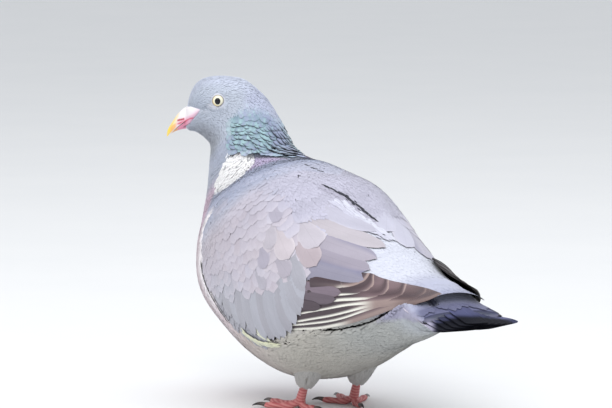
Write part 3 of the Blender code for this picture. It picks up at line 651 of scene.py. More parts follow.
def scaled_colour(tree, colour, factor):
    node = tree.nodes.new("ShaderNodeVectorMath")
    node.operation = "SCALE"
    tree.links.new(colour, node.inputs[0])
    tree.links.new(factor, node.inputs["Scale"])
    return node.outputs[0]


def bump_node(tree, height, distance, strength):
    node = tree.nodes.new("ShaderNodeBump")
    node.inputs["Strength"].default_value = strength
    node.inputs["Distance"].default_value = distance
    tree.links.new(height, node.inputs["Height"])
    return node.outputs[0]


def tint_of(tree):
    node = tree.nodes.new("ShaderNodeAttribute")
    node.attribute_name = "tint"
    return node.outputs["Color"]


def feather_material(name, rough=0.62, streak=0.16, mottle=0.08, bump=0.35, sheen=0.25, slope=1.0, pitch=0.55, shaft=0.0, coat=0.0, gloss=0.32):
    """Barbs running out from the shaft: streaks of colour, fine ridges, and a mottle from feather to feather."""
    made, tree, shader = new_material(name)
    uv = tree.nodes.new("ShaderNodeUVMap")
    uv.uv_map = "vane"
    split = tree.nodes.new("ShaderNodeSeparateXYZ")
    tree.links.new(uv.outputs[0], split.inputs[0])
    side = math_node(tree, "ABSOLUTE", split.outputs[0])
    barb = math_node(tree, "SUBTRACT", split.outputs[1], math_node(tree, "MULTIPLY", side, slope))
    streaks = noise_node(tree, combine(tree, barb, math_node(tree, "MULTIPLY", split.outputs[0], 0.22)), 1.5, 3.0, 0.6)
    ridge = math_node(tree, "SINE", math_node(tree, "MULTIPLY", barb, 2 * math.pi / pitch))
    where = tree.nodes.new("ShaderNodeTexCoord")
    broad = noise_node(tree, where.outputs["Object"], 90.0, 3.0, 0.55)
    factor = math_node(tree, "ADD", math_node(tree, "MULTIPLY", streaks, 2 * streak), 1 - streak)
    factor = math_node(tree, "MULTIPLY", factor, math_node(tree, "ADD", math_node(tree, "MULTIPLY", broad, 2 * mottle), 1 - mottle))
    if shaft:
        line = math_node(tree, "LESS_THAN", side, 0.16)
        factor = math_node(tree, "MULTIPLY", factor, math_node(tree, "SUBTRACT", 1.0, math_node(tree, "MULTIPLY", line, shaft)))
    tree.links.new(scaled_colour(tree, tint_of(tree), factor), shader.inputs["Base Color"])
    rough_out = math_node(tree, "ADD", math_node(tree, "MULTIPLY", streaks, 0.24), rough - 0.12)
    tree.links.new(rough_out, shader.inputs["Roughness"])
    height = math_node(tree, "ADD", math_node(tree, "MULTIPLY", streaks, 1.6), math_node(tree, "MULTIPLY", ridge, 0.22))
    tree.links.new(bump_node(tree, height, 0.0003, bump), shader.inputs["Normal"])
    shader.inputs["Sheen Weight"].default_value = sheen
    shader.inputs["Sheen Roughness"].default_value = 0.4
    shader.inputs["Specular IOR Level"].default_value = gloss
    if coat:
        shader.inputs["Coat Weight"].default_value = coat
        shader.inputs["Coat Roughness"].default_value = 0.35
    return made


def skin_material(name, rough, scale, amount, bump, distance=0.0004):
    """Skin or horn: its colour from the points, broken up by two sizes of noise and small cells."""
    made, tree, shader = new_material(name)
    where = tree.nodes.new("ShaderNodeTexCoord")
    broad = noise_node(tree, where.outputs["Object"], scale, 4.0, 0.6)
    fine = noise_node(tree, where.outputs["Object"], scale * 7, 2.0, 0.5)
    factor = math_node(tree, "ADD", math_node(tree, "MULTIPLY", broad, 2 * amount), 1 - amount)
    tree.links.new(scaled_colour(tree, tint_of(tree), factor), shader.inputs["Base Color"])
    tree.links.new(math_node(tree, "ADD", math_node(tree, "MULTIPLY", fine, 0.25), rough - 0.12), shader.inputs["Roughness"])
    cells = tree.nodes.new("ShaderNodeTexVoronoi")
    cells.feature = "DISTANCE_TO_EDGE"
    cells.inputs["Scale"].default_value = scale * 4
    tree.links.new(where.outputs["Object"], cells.inputs["Vector"])
    edge = math_node(tree, "MULTIPLY", cells.outputs[0], 3.0, True)
    height = math_node(tree, "ADD", edge, math_node(tree, "MULTIPLY", broad, 0.6))
    tree.links.new(bump_node(tree, height, distance, bump), shader.inputs["Normal"])
    return made


DOWN = feather_material("contour_feathers", 0.7, 0.10, 0.05, 0.16, 0.35)
FINE = feather_material("head_feathers", 0.68, 0.10, 0.05, 0.16, 0.35, pitch=0.4)
NECK = feather_material("neck_feathers", 0.52, 0.20, 0.10, 0.3, 0.3, coat=0.1)
COVERT = feather_material("covert_feathers", 0.62, 0.09, 0.05, 0.16, 0.25, shaft=0.05)
FLIGHT = feather_material("flight_feathers", 0.52, 0.10, 0.05, 0.22, 0.15, slope=1.2, shaft=0.08)
TAIL = feather_material("tail_vanes", 0.66, 0.10, 0.05, 0.2, 0.02, slope=1.2, shaft=0.08, gloss=0.05)
SKIN = skin_material("bird_skin", 0.6, 260.0, 0.10, 0.25)
LEG_SKIN = skin_material("scaly_legs", 0.52, 240.0, 0.14, 0.55)
HORN = skin_material("bill_horn_detail", 0.38, 300.0, 0.06, 0.08, 0.0002)
CLAW = skin_material("claw_horn_detail", 0.3, 300.0, 0.2, 0.12, 0.0002)

# ---------------------------------------------------------------- head
def at_bill(forward, left, up):
    f, l, u = (np.asarray(x, float)[..., None] for x in (forward, left, up))
    return BILL_ROOT + f * FORWARD + l * LEFT + u * UP


def eye_distance(points):
    f, l, u = head_place(points)
    return np.hypot((f - EYE_FORWARD) / 1.0, (u - EYE_UP) / 1.06)


def near_eye(u, v):
    return eye_distance(HULL.at(u, v)[0])


def bare(u, v):
    return inside_by(*side_place(HULL.at(u, v)[0]), BARE)


def head_lie(t, a_signed):
    """Feathers of the face sweep back, and round the eye."""
    P = HULL.at(t, a_signed)[0]
    f, l, u = head_place(P)
    df, du = f - EYE_FORWARD, u - EYE_UP
    near = bell(np.hypot(df, du), 0, 8.0) * np.sign(a_signed)
    return -near * 34 * np.clip(du / 6.0, -1, 1) * smooth(-9, 4, df) + 5 * wave_noise(t * 1.1, a_signed * 0.06, 77)


head_radius = lambda t, f: 0.60 + 0.34 * smooth(0.8, 5.5, t) + 0.2 * smooth(6, 8.5, t) - 0.22 * bell(near_eye(t, f), 3.6, 2.4)
head_keep = lambda t, f: 1.0 * ((near_eye(t, f) > 4.1) & ((t > 3.3) | (bare(t, f) < -0.15)))
for name, low, high, salt in (("coat_face", 0.02, 4.6, 11), ("coat_head", 4.6, 9.2, 12)):
    coat = Coat()
    t, f = scatter(HULL, (low, high), (-180, 180), head_radius, head_keep, salt)
    r = head_radius(t, f)
    rng = np.random.default_rng(5 + salt)
    tone = wave_noise(t * 2.6, f * 0.35, 91) * 0.5 + wave_noise(t * 5.0, f * 0.16, 92) * 0.5

    def head_colour(s, x, tt, ff, pick, tone=tone):
        mid_t, mid_f = tt[:, tt.shape[1] // 2][:, None], ff[:, ff.shape[1] // 2][:, None]
        c = body_colour(mid_t, mid_f) + 0 * s[..., None]
        return shade(c, (1 + 0.07 * (pick - 0.5) + 0.05 * tone[:, None]) * (1 + 0.05 * smooth(0.6, 1.0, s) - 0.07 * (1 - smooth(0.0, 0.5, s))))

    vanes(coat, HULL, t, f, head_lie(t, f) + rng.normal(0, 7, len(t)), r * 3.9, r * 1.7, -0.62, -0.02 + rng.random(len(t)) * 0.14,
          head_colour, rows=2, cols=3, shape="hair", camber=0.10, seed=3 + salt)
    coat.make(name, FINE, 0.7)

# ---------------------------------------------------------------- neck
coat = Coat()
LINE_ANGLE = [-60, -40, -14, 0, 18, 40, 51, 66, 73, 90, 110, 125]
LINE_FIRST = [9.2, 9.6, 10.0, 9.96, 9.63, 9.17, 8.79, 8.15, 7.63, 7.1, 6.9, 6.8]
GREEN_END = ([0, 7, 23, 51, 70, 85, 98], [12.2, 12.1, 11.5, 10.75, 10.02, 9.72, 9.3])


def row_line(j, a):
    """Station of the lower edge of ruffled row j at an angle from the back."""
    first = np.interp(a, LINE_ANGLE, LINE_FIRST)
    return first + j * 0.33 + 0.07 * np.sin(a * 0.19 + j * 1.7)


def ruffled(t, a):
    """1 on the ruffled green sides of the neck."""
    return smooth(-0.5, 0.2, t - row_line(-1, a)) * (1 - smooth(-0.25, 0.15, t - np.interp(a, *GREEN_END))) * (1 - smooth(86, 98, a))


neck_rng = np.random.default_rng(8)
# soft feathers over the whole neck; under the ruffled rows they lie deeper and are darkened as painted shade
neck_radius = lambda t, f: 1.15 + 0 * t
t, f = scatter(HULL, (8.3, 13.5), (-180, 180), neck_radius, lambda t, f: 1.0 + 0 * t, 21)
a = np.abs(f)
deep = ruffled(t, a)
start = np.interp(a, [41, 49.5, 69.5, 85, 98, 104], [11.7, 10.65, 9.9, 9.6, 9.75, 11.1])
stop = np.interp(a, [42, 55, 69, 86, 104], [11.7, 12.5, 12.7, 12.4, 11.0])
white = (t > start - 0.25) & (t < stop - 0.1) & (a > 43) & (a < 103)
plain = (~white) | (deep > 0.5)
zone_white = ~plain
for zone, salt in ((plain, 1), (zone_white, 2)):
    zdeep_shaded = deep[zone]
    is_white = salt == 2

    def neck_colour(s, x, tt, ff, pick, zdeep_shaded=zdeep_shaded, is_white=is_white):
        m = tt.shape[1] - 1
        tm, fm = tt[:, m][:, None], ff[:, m][:, None]
        c = body_colour(tm, fm) + 0 * s[..., None]
        # painted shade on the feathers under the ruffled rows
        c = mix(c, ink(44, 52, 64), 0.85 * zdeep_shaded[:, None] + 0 * s)
        if is_white:
            c = mix(c, ink(236, 214, 226), 0.35 * smooth(0.75, 1.0, pick) * (1 - smooth(0.3, 0.8, s)))
            c = mix(c, ink(120, 122, 130), 0.75 * (pick < 0.05) * smooth(0.4, 0.8, s))
        return shade(c, (1 + 0.06 * (pick - 0.5)) * (1 - 0.06 * (1 - smooth(0.1, 0.6, s))))

    n = int(zone.sum())
    sway = np.sign(f[zone]) * 12 * bell(a[zone], 80, 40) + neck_rng.normal(0, 9, n)
    vanes(coat, HULL, t[zone], f[zone], sway, 4.6 if not is_white else 4.2, 2.0 if not is_white else 2.2, -0.5 - 0.3 * zdeep_shaded,
          -0.02 - 0.6 * zdeep_shaded + 0.1 * neck_rng.random(n) + (0.12 if is_white else 0), neck_colour, rows=2, cols=3, shape="hair",
          camber=0.03, seed=4 + salt, ragged=0.3)

# ruffled rows: narrow feathers side by side, each row lifted over the next, with frayed edges; their tips are darkened
# as painted shadow in the furrow under each row
roots = []
for j in range(-3, 11):
    for side in (1, -1):
        a = -16.0 if side == 1 else 14.0
        while a < 101:
            roots.append((j, side, a + neck_rng.normal(0, 0.8), neck_rng.normal(0, 0.07), neck_rng.random()))
            a += neck_rng.uniform(3.8, 8.2)
roots = np.array(roots)
j, side, a, jitter, tone = roots.T
edge = row_line(j, np.abs(a)) + jitter
lift = ruffled(edge, np.abs(a)) * smooth(-2.0, 2.0, j)
ok = (edge > 7.3) & (edge < np.interp(np.abs(a), *GREEN_END) + 0.12 + 0.3 * np.sin(np.abs(a) * 0.9 + 1.0) * smooth(46, 54, np.abs(a)) * (0.5 + 0.5 * np.sin(np.abs(a) * 0.31)))
length = neck_rng.uniform(7.0, 9.5, len(a))
P, N, A, B = HULL.at(edge, side * a)
theta = 26 - 4 * smooth(10, 60, a) + neck_rng.normal(0, 5, len(a))
ways = -(np.cos(np.radians(theta))[:, None] * unit(A) + (side * np.sin(np.radians(theta)))[:, None] * unit(B)) * length[:, None]
du, dv = advance(A, B, ways)
lifted, toned, sided = lift[ok], tone[ok], np.abs(a)[ok]


def ruffle_colour(s, x, t, f, pick):
    m = t.shape[1] // 2
    tm, fm = t[:, m][:, None], f[:, m][:, None]
    top = np.interp(np.abs(fm), [41, 49.5, 69.5, 85, 98, 104], [11.7, 10.65, 9.9, 9.6, 9.75, 11.1]) - 0.45
    tm = np.where(fm < 0, np.minimum(tm, top), tm)
    c = body_colour(tm, fm) + 0 * s[..., None]
    sheen = wave_noise(tm * 2.2, fm * 0.08, 5) + (toned[:, None] - 0.5) * 1.0 + 0.5 * np.sin(x * 5 + toned[:, None] * 30)
    green = smooth(0.1, 0.5, (c[..., 1] - c[..., 0]) / (c[..., 2] + 1e-6) * 4)
    c = mix(c, ink(178, 216, 218), green * 0.7 * smooth(-0.1, 0.7, sheen))
    c = mix(c, ink(160, 166, 200), green * 0.7 * smooth(0.0, 0.7, -sheen))
    c = mix(c, ink(104, 130, 150), green * 0.55 * (1 - smooth(0.3, 0.8, s)))
    hind = 1 - smooth(4, 34, np.abs(fm))
    c = mix(c, ink(168, 176, 208), green * 0.6 * hind)
    ending = smooth(-0.5, 0.0, tm - np.interp(np.abs(fm), *GREEN_END)) * (1 - smooth(34, 50, np.abs(fm)))
    # painted shadow: the tip of each lifted feather is darkened where its row overhangs the next
    dark = smooth(0.88 - 0.14 * hind, 0.965, s + 0.05 * np.abs(x)) * lifted[:, None] * (1 - 0.85 * ending)
    c = mix(c, ink(26, 34, 46), 0.95 * dark)
    return shade(c, 1 + 0.10 * (pick - 0.5))


vanes(coat, HULL, (edge + du)[ok], (side * a + dv)[ok], (side * theta)[ok], length[ok], (5.4 + 3.0 * neck_rng.random(ok.sum())) * (0.6 + 0.4 * smooth(-2, 1.5, j[ok])), -0.9,
      (-0.1 + 0.68 * lift - 0.15 * (1 - smooth(-3, 0, j)))[ok] + 0.2 * neck_rng.random(ok.sum()), ruffle_colour, rows=5, cols=5, shape="round",
      camber=0.06, seed=6, ragged=0.35, steps=[0.2, 0.45, 0.7, 0.86, 0.955])
coat.make("coat_neck", NECK, 0.55)

# ---------------------------------------------------------------- breast, belly, flanks and back
def trunk_radius(t, f):
    return 1.22 + 0.12 * smooth(13, 16, t) - 0.1 * smooth(19, 21, t)


def rump_zone(t, f):
    """1 on the rump between the wings and the folded flight feathers, up to their edges."""
    a = np.abs(f)
    edge = np.where(f > 0, np.interp(t, [17.5, 19.0, 20.0, 20.36, 21.12, 21.70, 22.32, 22.96], [30, 60, 50, 43, 41, 36, 27, 21]),
                    np.interp(t, [17.5, 19.0, 20.25, 20.8, 21.3, 21.8, 22.45], [30, 50, 38, 35, 37, 45, 57]))
    return 1.0 * (t > 17.6) * (t < 22.9) * (a < edge + 3 + 4 * (f > 0) * smooth(20.2, 20.8, t)) * (wing_share(t, f) > 0.86)


def trunk_keep(t, f):
    return 1.0 * (wing_share(t, f) > 0.94) * (1 - rump_zone(t, f))


trunk_rng = np.random.default_rng(31)
trunk_cells = Cells(TRUNK, (12.0, 23.4), (-180, 180), 7.0, 34)
t, f = scatter(TRUNK, (12.6, 22.9), (-180, 180), trunk_radius, trunk_keep, 32)
r = trunk_radius(t, f)
a = np.abs(f)
under = a > 88
share = wing_share(t, f)
# painted shade: feathers darkened in the narrow gap under the front of the wing and along the seam between the wings
gap = (1 - smooth(1.012, 1.045, share)) * smooth(14.7, 15.1, t) * (1 - smooth(16.6, 17.1, t)) * smooth(84, 92, a)
seam = (1 - smooth(1.0, 1.05, share)) * smooth(16.1, 16.4, t) * (1 - smooth(18.0, 18.3, t)) * (1 - smooth(12, 16, a))
gap = np.maximum(gap, seam)
tone, towards = trunk_cells.read(t, f)
streak = wave_noise(t * 1.2, f * 0.30, 36)
zones = (("coat_breast", under & (t < 15.6)), ("coat_flank", under & (t >= 15.6) & (t < 18.4)), ("coat_vent", under & (t >= 18.4)),
         ("coat_mantle", ~under & (t < 17.0)), ("coat_rump", ~under & (t >= 17.0)))
for salt, (name, zone) in enumerate(zones):
    coat = Coat()
    zt, zf, zr, za, gap_shade = t[zone], f[zone], r[zone], a[zone], gap[zone]
    zlight = 1 + 0.045 * (tone[zone] - 0.5) * 2 + 0.03 * towards[zone] + 0.03 * streak[zone]

    def contour(s, x, tt, ff, pick, gap_shade=gap_shade, zlight=zlight):
        m = tt.shape[1] // 2
        c = body_colour(tt[:, m][:, None], ff[:, m][:, None]) + 0 * s[..., None]
        # painted shade in the gap and along the seam
        c = mix(c, ink(30, 32, 38), 0.93 * gap_shade[:, None] + 0 * s)
        return shade(c, zlight[:, None] * (1 + 0.07 * (pick - 0.5)) * (1 - 0.06 * (1 - smooth(0.2, 0.7, s))))

    raised = 0.75 * sunk(zt, zf) * (za > 84) * (zt > 18.3) * (1 - smooth(0.4, 0.8, primary_cover(zt, zf)))
    lie = trunk_rng.normal(0, 8, len(zt)) + np.where(za > 88, -np.sign(zf) * 6 * smooth(15, 18, zt), 0)
    vanes(coat, TRUNK, zt, zf, lie, zr * trunk_rng.uniform(4.6, 6.0, len(zt)), zr * 1.9, np.where(za < 88, -0.28, -0.42) + raised, 0.0 + raised + 0.06 * trunk_rng.random(len(zt)), contour,
          rows=2, cols=3, shape="hair", camber=0.03, seed=40 + salt, ragged=0.3)
    if name == "coat_rump":
        # smooth white feathers that run in under the edges of the wings and of the flight feathers
        rt, rf = scatter(HULL, (17.6, 22.9), (-70, 70), lambda t, f: 1.2 + 0 * t, lambda t, f: rump_zone(t, f), 47)
        rtone, rtowards = trunk_cells.read(rt, rf)
        # painted shade along the seam between the wings, and a soft tone from the large feathers underneath
        gap_shade, zlight = (1 - smooth(1.0, 1.05, wing_share(rt, rf))) * (1 - smooth(18.0, 18.3, rt)) * (1 - smooth(12, 16, np.abs(rf))), 1 + 0.03 * (rtone - 0.5) + 0.02 * rtowards
        rump_colour = lambda s, x, tt, ff, pick, gap_shade=gap_shade, zlight=zlight: contour(s, x, tt, ff, pick, gap_shade, zlight)
        low = 0.12 * smooth(17.6, 18.6, rt) * (1 - smooth(21.4, 22.5, rt))
        vanes(coat, HULL, rt, rf, trunk_rng.normal(0, 6, len(rt)) - np.sign(rf) * 4, 6.5, 2.4, -0.75 - low, -0.5 - low + 0.06 * trunk_rng.random(len(rt)), rump_colour,
              rows=2, cols=3, shape="hair", camber=0.03, seed=48, ragged=0.3)
    coat.make(name, DOWN, 0.85)

# ---------------------------------------------------------------- wings
def wing_lie(t, a):
    """Degrees that a covert points outwards from the lie of the back."""
    inner = smooth(26, 52, a)
    lie = 12 + 34 * inner
    lie = lie + 10 * smooth(80, 104, a) * (1 - smooth(17.2, 18.6, t))
    lie = lie - 26 * smooth(18.0, 19.0, t) * smooth(70, 100, a)
    lie = lie - 22 * (1 - inner) * smooth(15.6, 17.2, t)
    return lie


def wing_place(side, a):
    return side * a + seam_shift(side * a)


def covert_radius(t, a):
    grow = smooth(13.4, 17.2, t + 0.012 * (62 - a))
    return 2.1 + 3.2 * grow - 0.7 * smooth(84, 108, a) * (1 - grow)


def strip(coat, side, lower, upper, depth, tint, far, rows=56, mm=(0.0, 0.35, 0.8, 1.3, 1.8, 2.3, 3.0, 4.2, 6.5), lift=None, salt=0):
    """A long feather between two lines of (station, angle) from root to tip. The columns are close along the lower
    line, which is its outer edge. tint(t, gap, s, x) colours it by the distance gap from that edge in millimetres."""
    def even(line):
        line = np.asarray(line, float)
        P = HULL.at(line[:, 0], line[:, 1])[0]
        step = np.concatenate([[0], np.cumsum(np.linalg.norm(np.diff(P, axis=0), axis=1))])
        # a smooth curve through the points by their distance along it
        want = np.linspace(0, step[-1], rows)
        nodes = np.interp(want, step, np.arange(len(line)))
        return through(line, nodes), step[-1]
    low, length = even(lower)
    top, _ = even(upper)
    PL, PT = HULL.at(low[:, 0], side * low[:, 1])[0], HULL.at(top[:, 0], side * top[:, 1])[0]
    wide = np.linalg.norm(PL - PT, axis=1)
    cols = len(mm) + 4
    share = np.zeros((rows, cols))
    for j in range(cols):
        even_part = wide * (j / (cols - 1))
        near = np.full(rows, mm[j]) if j < len(mm) else mm[-1] + (wide - mm[-1]) * (j - len(mm) + 1) / (cols - len(mm))
        share[:, j] = np.minimum(np.where(wide > 1.6 * mm[-1], near, even_part), wide) / np.maximum(wide, 1e-6)
    t = low[:, 0][:, None] * (1 - share) + top[:, 0][:, None] * share
    a = low[:, 1][:, None] * (1 - share) + top[:, 1][:, None] * share
    s = np.linspace(0, 1, rows)[:, None] + 0 * share
    P, N, _, _ = HULL.at(np.clip(t, 0, 23), side * a)
    height = -depth(t, s) + (lift(t, a, s) if lift else 0.0)
    height = height + 0.35 * np.sin(np.pi * np.clip(share, 0, 1) ** 0.6) - 0.35 * bell(share * wide[:, None], 0, 0.5)
    points = P + N * height[..., None]
    gap = share * wide[:, None]
    colour = tint(t, gap, s, share, np.abs(a))
    idx = np.arange(rows * cols).reshape(rows, cols)
    q = np.stack([idx[:-1, :-1], idx[:-1, 1:], idx[1:, 1:], idx[1:, :-1]], -1).reshape(-1, 4)
    facing = np.cross(points[2, 3] - points[2, 2], points[3, 2] - points[2, 2]) @ N[2, 2]
    q = q if facing > 0 else q[:, ::-1]
    top_tri = np.concatenate([q[:, [0, 1, 2]], q[:, [0, 2, 3]]])
    m = rows * cols
    low_tri = top_tri[:, ::-1] + m
    rim = np.concatenate([idx[0, :-1], idx[:-1, -1], idx[-1, :0:-1], idx[:0:-1, 0]])
    rim2 = np.roll(rim, -1)
    sides = np.concatenate([np.stack([rim, rim2, rim2 + m], -1), np.stack([rim, rim2 + m, rim + m], -1)])
    sides = sides[:, ::-1] if facing > 0 else sides
    vane = np.stack([gap - 3.0, s * length + 31 * salt], -1).reshape(-1, 2)
    bake = np.stack([0.03 + 0.11 * (salt % 8) + 0.09 * share, (0.05 if side == 1 else 0.55) + 0.4 * s], -1).reshape(-1, 2)
    both = lambda x: np.concatenate([x, x])
    coat.take(np.concatenate([points.reshape(-1, 3), (points - N * 0.2).reshape(-1, 3)]), np.concatenate([top_tri, low_tri, sides]),
              both(colour.reshape(-1, 3)), both(vane), both(bake), both(N.reshape(-1, 3)))


# outer edges of the folded flight feathers from root to tip, the innermost and uppermost first
TOP_EDGE = [(19.0, 66), (19.6, 58), (20.0, 50), (20.36, 42.5), (20.70, 42.5), (21.12, 40.5), (21.70, 35), (22.32, 25.5), (22.96, 19)]
FLIGHT_EDGES = [
    [(19.2, 76), (19.6, 74), (20.0, 71.5), (20.30, 66.5), (20.47, 58), (20.46, 50), (20.36, 42.5)],
    [(19.2, 84), (19.6, 82.5), (19.98, 81.0), (20.32, 78.5), (20.62, 75.0), (20.80, 67.5), (20.80, 57), (20.60, 47), (20.50, 42.5)],
    [(19.0, 92), (19.72, 89.5), (20.22, 85.8), (20.70, 81.5), (21.14, 77.5), (21.36, 70.0), (21.32, 57), (21.10, 46), (21.0, 41)],
    [(18.6, 100), (19.22, 98.5), (19.82, 96.0), (20.34, 92.0), (20.82, 87.5), (21.36, 83.5), (21.78, 77.0), (22.0, 66), (21.86, 51.5), (21.60, 36)],
    [(18.6, 106), (19.20, 105), (19.82, 104), (20.26, 101), (20.70, 95.5), (21.18, 89.5), (21.60, 85.5), (22.16, 78.0), (22.66, 62), (22.62, 40), (22.30, 26)],
    [(18.6, 108), (19.14, 108.8), (19.80, 109.8), (20.24, 107.5), (20.70, 101), (21.16, 94), (21.60, 90), (22.18, 83.0), (22.70, 68), (22.98, 48), (22.99, 30), (22.96, 19)],
    [(18.6, 112), (19.08, 113), (19.48, 115), (19.84, 115.5), (20.34, 114.0), (21.00, 106.0), (21.56, 98.0), (22.20, 87.0), (22.62, 73), (22.9, 52), (22.95, 32), (22.9, 20)],
]


def build_wing(name, side, seed):
    rng = np.random.default_rng(seed)
    coat = Coat()
    place_f = lambda a: wing_place(side, a)
    calm = 1.0 if side == 1 else 0.0

    # a plain underlayer over the whole wing
    t, a = scatter(HULL, (13.1, 20.3), (0, 120), lambda t, a: 3.0 + 0 * t, lambda t, a: 1.0 * ((wing_share(t, place_f(a)) < 0.985) & (t < 18.7 - 0.02 * np.maximum(a - 70, 0))), seed + 1)

    def under_colour(s, x, tt, ff, pick):
        aa = np.abs(ff - seam_shift(ff))
        return shade(wing_colour(tt, aa), 0.85 + 0 * s)

    vanes(coat, HULL, t, place_f(a), side * wing_lie(t, a), 9.0, 7.5, -1.6, -0.72, under_colour, rows=2, cols=3, shape="soft",
          camber=0.03, seed=seed + 2)

    # lesser and median coverts: scales that grow from the shoulder to the middle of the wing, up to the longer feathers
    def tip_of(t, a, reach):
        P, N, A, B = HULL.at(t, a)
        e1 = unit(A)
        e2 = unit(B - (B * e1).sum(-1, keepdims=True) * e1)
        turn = np.radians(wing_lie(t, a))[..., None]
        du, dv = advance(A, B, (np.cos(turn) * e1 + np.sin(turn) * e2) * reach[..., None])
        return t + du, a + dv

    def keep(t, a):
        share = wing_share(t, place_f(a))
        tt, aa = tip_of(t, a, covert_radius(t, a) * 2.5)
        lower = aa - np.interp(tt, [15.0, 15.8, 16.46, 16.84, 17.3, 17.62, 17.92, 18.12, 18.26, 19.2], [113, 105, 99, 94, 89.5, 85, 80, 76, 70, 62])
        behind = tt - np.interp(aa, [0, 12, 20, 28, 36, 46, 60, 76, 90], [18.4, 18.0, 17.7, 17.9, 18.2, 18.55, 18.8, 18.7, 18.8])
        return 1.0 * ((share < 0.99) & (lower < 0) & (behind < 0) & (a > 2))

    # the front of the wing and the shoulder are covered with fine soft feathers
    def softness(t, a):
        front = 1 - smooth(14.0, 15.0, t + 0.012 * (62 - a) + 0.25 * wave_noise(t * 3, a * 0.2, 8))
        shoulder = (1 - smooth(27, 41, a)) * (1 - smooth(17.5, 17.9, t + 0.012 * a))
        return np.maximum(front, shoulder)

    wing_cells = Cells(HULL, (13.0, 18.0), (0, 115), 7.0, seed + 30)
    t, a = scatter(HULL, (13.0, 18.0), (0, 115), lambda t, a: 1.25 + 0 * t,
                   lambda t, a: 1.0 * ((wing_share(t, place_f(a)) < 0.99 + 0.2 * (a < 66)) & (softness(t, a) > 0.35)), seed + 6)
    cell_tone, towards = wing_cells.read(t, a)
    mottle = wave_noise(t * 1.6, a * 0.14, seed + 33)

    def soft_colour(s, x, tt, ff, pick):
        m = tt.shape[1] // 2
        aa = np.abs(ff - seam_shift(ff))
        c = wing_colour(tt[:, m][:, None], aa[:, m][:, None]) + 0 * s[..., None]
        c = mix(c, ink(196, 184, 192), 0.35 * smooth(0.2, 0.9, mottle)[:, None] * smooth(40, 60, aa[:, m])[:, None] + 0 * s)
        light = 1 + 0.05 * (cell_tone - 0.5) * 2 + 0.04 * towards + 0.03 * mottle
        return shade(c, light[:, None] * (1 + 0.07 * (pick - 0.5)) * (1 - 0.06 * (1 - smooth(0.2, 0.7, s))))

    vanes(coat, HULL, t, place_f(a), side * (wing_lie(t, a) * (0.5 + 0.5 * smooth(20, 50, a)) + rng.normal(0, 7, len(t))), rng.uniform(5.4, 7.4, len(t)), 2.5, -0.3,
          0.0 + 0.07 * rng.random(len(t)), soft_colour, rows=2, cols=3, shape="hair", camber=0.02, seed=seed + 7, ragged=0.3)

    t, a = scatter(HULL, (13.1, 18.6), (0, 112), covert_radius, lambda t, a: keep(t, a) * (softness(t, a) < 0.6), seed + 3)
    r = covert_radius(t, a)
    tone = wave_noise(t * 2.2, a * 0.12, seed + 9)
    soft = softness(t - 0.8, a)

    def covert_colour(s, x, tt, ff, pick, tone, soft):
        m = tt.shape[1] - 1
        aa = np.abs(ff - seam_shift(ff))
        c = wing_colour(tt[:, m][:, None], aa[:, m][:, None]) + 0 * s[..., None]
        vary = 1 - 0.6 * soft[:, None]
        c = mix(c, ink(192, 180, 188), vary * 0.40 * smooth(0.6, 1.0, pick) + 0 * s)
        c = mix(c, ink(206, 206, 222), vary * 0.3 * (1 - smooth(0.0, 0.35, pick)) + 0 * s)
        c = mix(c, ink(222, 216, 225), vary * 0.32 * smooth(0.70, 0.99, s + 0.10 * np.abs(x)))
        return shade(c, 1 + vary * (0.05 * tone[:, None] - 0.06 * (1 - smooth(0.3, 0.75, s))))

    big = r > 3.3
    for part, rows, cols, salt in ((big, 7, 5, 4), (~big, 4, 5, 5)):
        sub = lambda s, x, tt, ff, pick, part=part: covert_colour(s, x, tt, ff, pick, tone[part], soft[part])
        vanes(coat, HULL, t[part], place_f(a[part]), side * (wing_lie(t[part], a[part]) + rng.normal(0, 6, part.sum())),
              r[part] * 3.5, r[part] * 2.4, -0.5, -0.06 + 0.07 * rng.random(part.sum()), sub, rows=rows, cols=cols,
              shape="round", camber=0.012, seed=seed + salt, ragged=0.05)
    coat_wing = coat.make(name, COVERT, 0.85)

    # long feathers: greater coverts, tertials and secondaries, each from a root to a tip
    coat = Coat()

    def strap(root, tip, width, lift0, lift1, colour, rows=16, cols=9, shape="long", bow=0.0, salt=0, rise=0.6):
        """One long feather from root (station, angle) to tip."""
        rt, ra = root
        P, N, A, B = HULL.at(np.array([rt]), place_f(np.array([ra])))
        P1 = HULL.at(np.array([tip[0]]), place_f(np.array([tip[1]])))[0]
        e1 = unit(A)
        e2 = unit(B - (B * e1).sum(-1, keepdims=True) * e1)
        gap = P1 - P
        heading = math.degrees(math.atan2(float((gap * e2).sum()), float((gap * e1).sum())))
        reach = float(np.linalg.norm(gap)) * 1.02
        # steer until the tip lands in its place
        for trial in range(5):
            cu, cv = np.array([rt]), place_f(np.array([ra]))
            p, nn, aa, bb = HULL.at(cu, cv)
            f1 = unit(aa)
            f2 = unit(bb - (bb * f1).sum(-1, keepdims=True) * f1)
            D = math.cos(math.radians(heading)) * f1 + math.sin(math.radians(heading)) * f2
            for k in range(40):
                du, dv = advance(aa, bb, D * reach / 40)
                cu, cv = cu + du, cv + dv
                p, nn, aa, bb = HULL.at(cu, cv)
                D = unit(D - (D * nn).sum(-1, keepdims=True) * nn)
                if bow:
                    swing = math.radians(bow / 40)
                    D = math.cos(swing) * D + math.sin(swing) * np.cross(D, nn)
            miss = P1 - p
            heading += math.degrees(float((miss * np.cross(D, nn)).sum()) / reach) * 0.9
            reach += float((miss * D).sum())
        vanes(coat, HULL, np.array([rt]), place_f(np.array([ra])), heading, reach, width, lift0, lift1, colour, rows=rows,
              cols=cols, shape=shape, camber=0.02, seed=seed + 100 + salt, bend=bow, rise=rise,
              steps=list(1 - (1 - np.linspace(0.03, 0.985, rows)) ** 1.35))

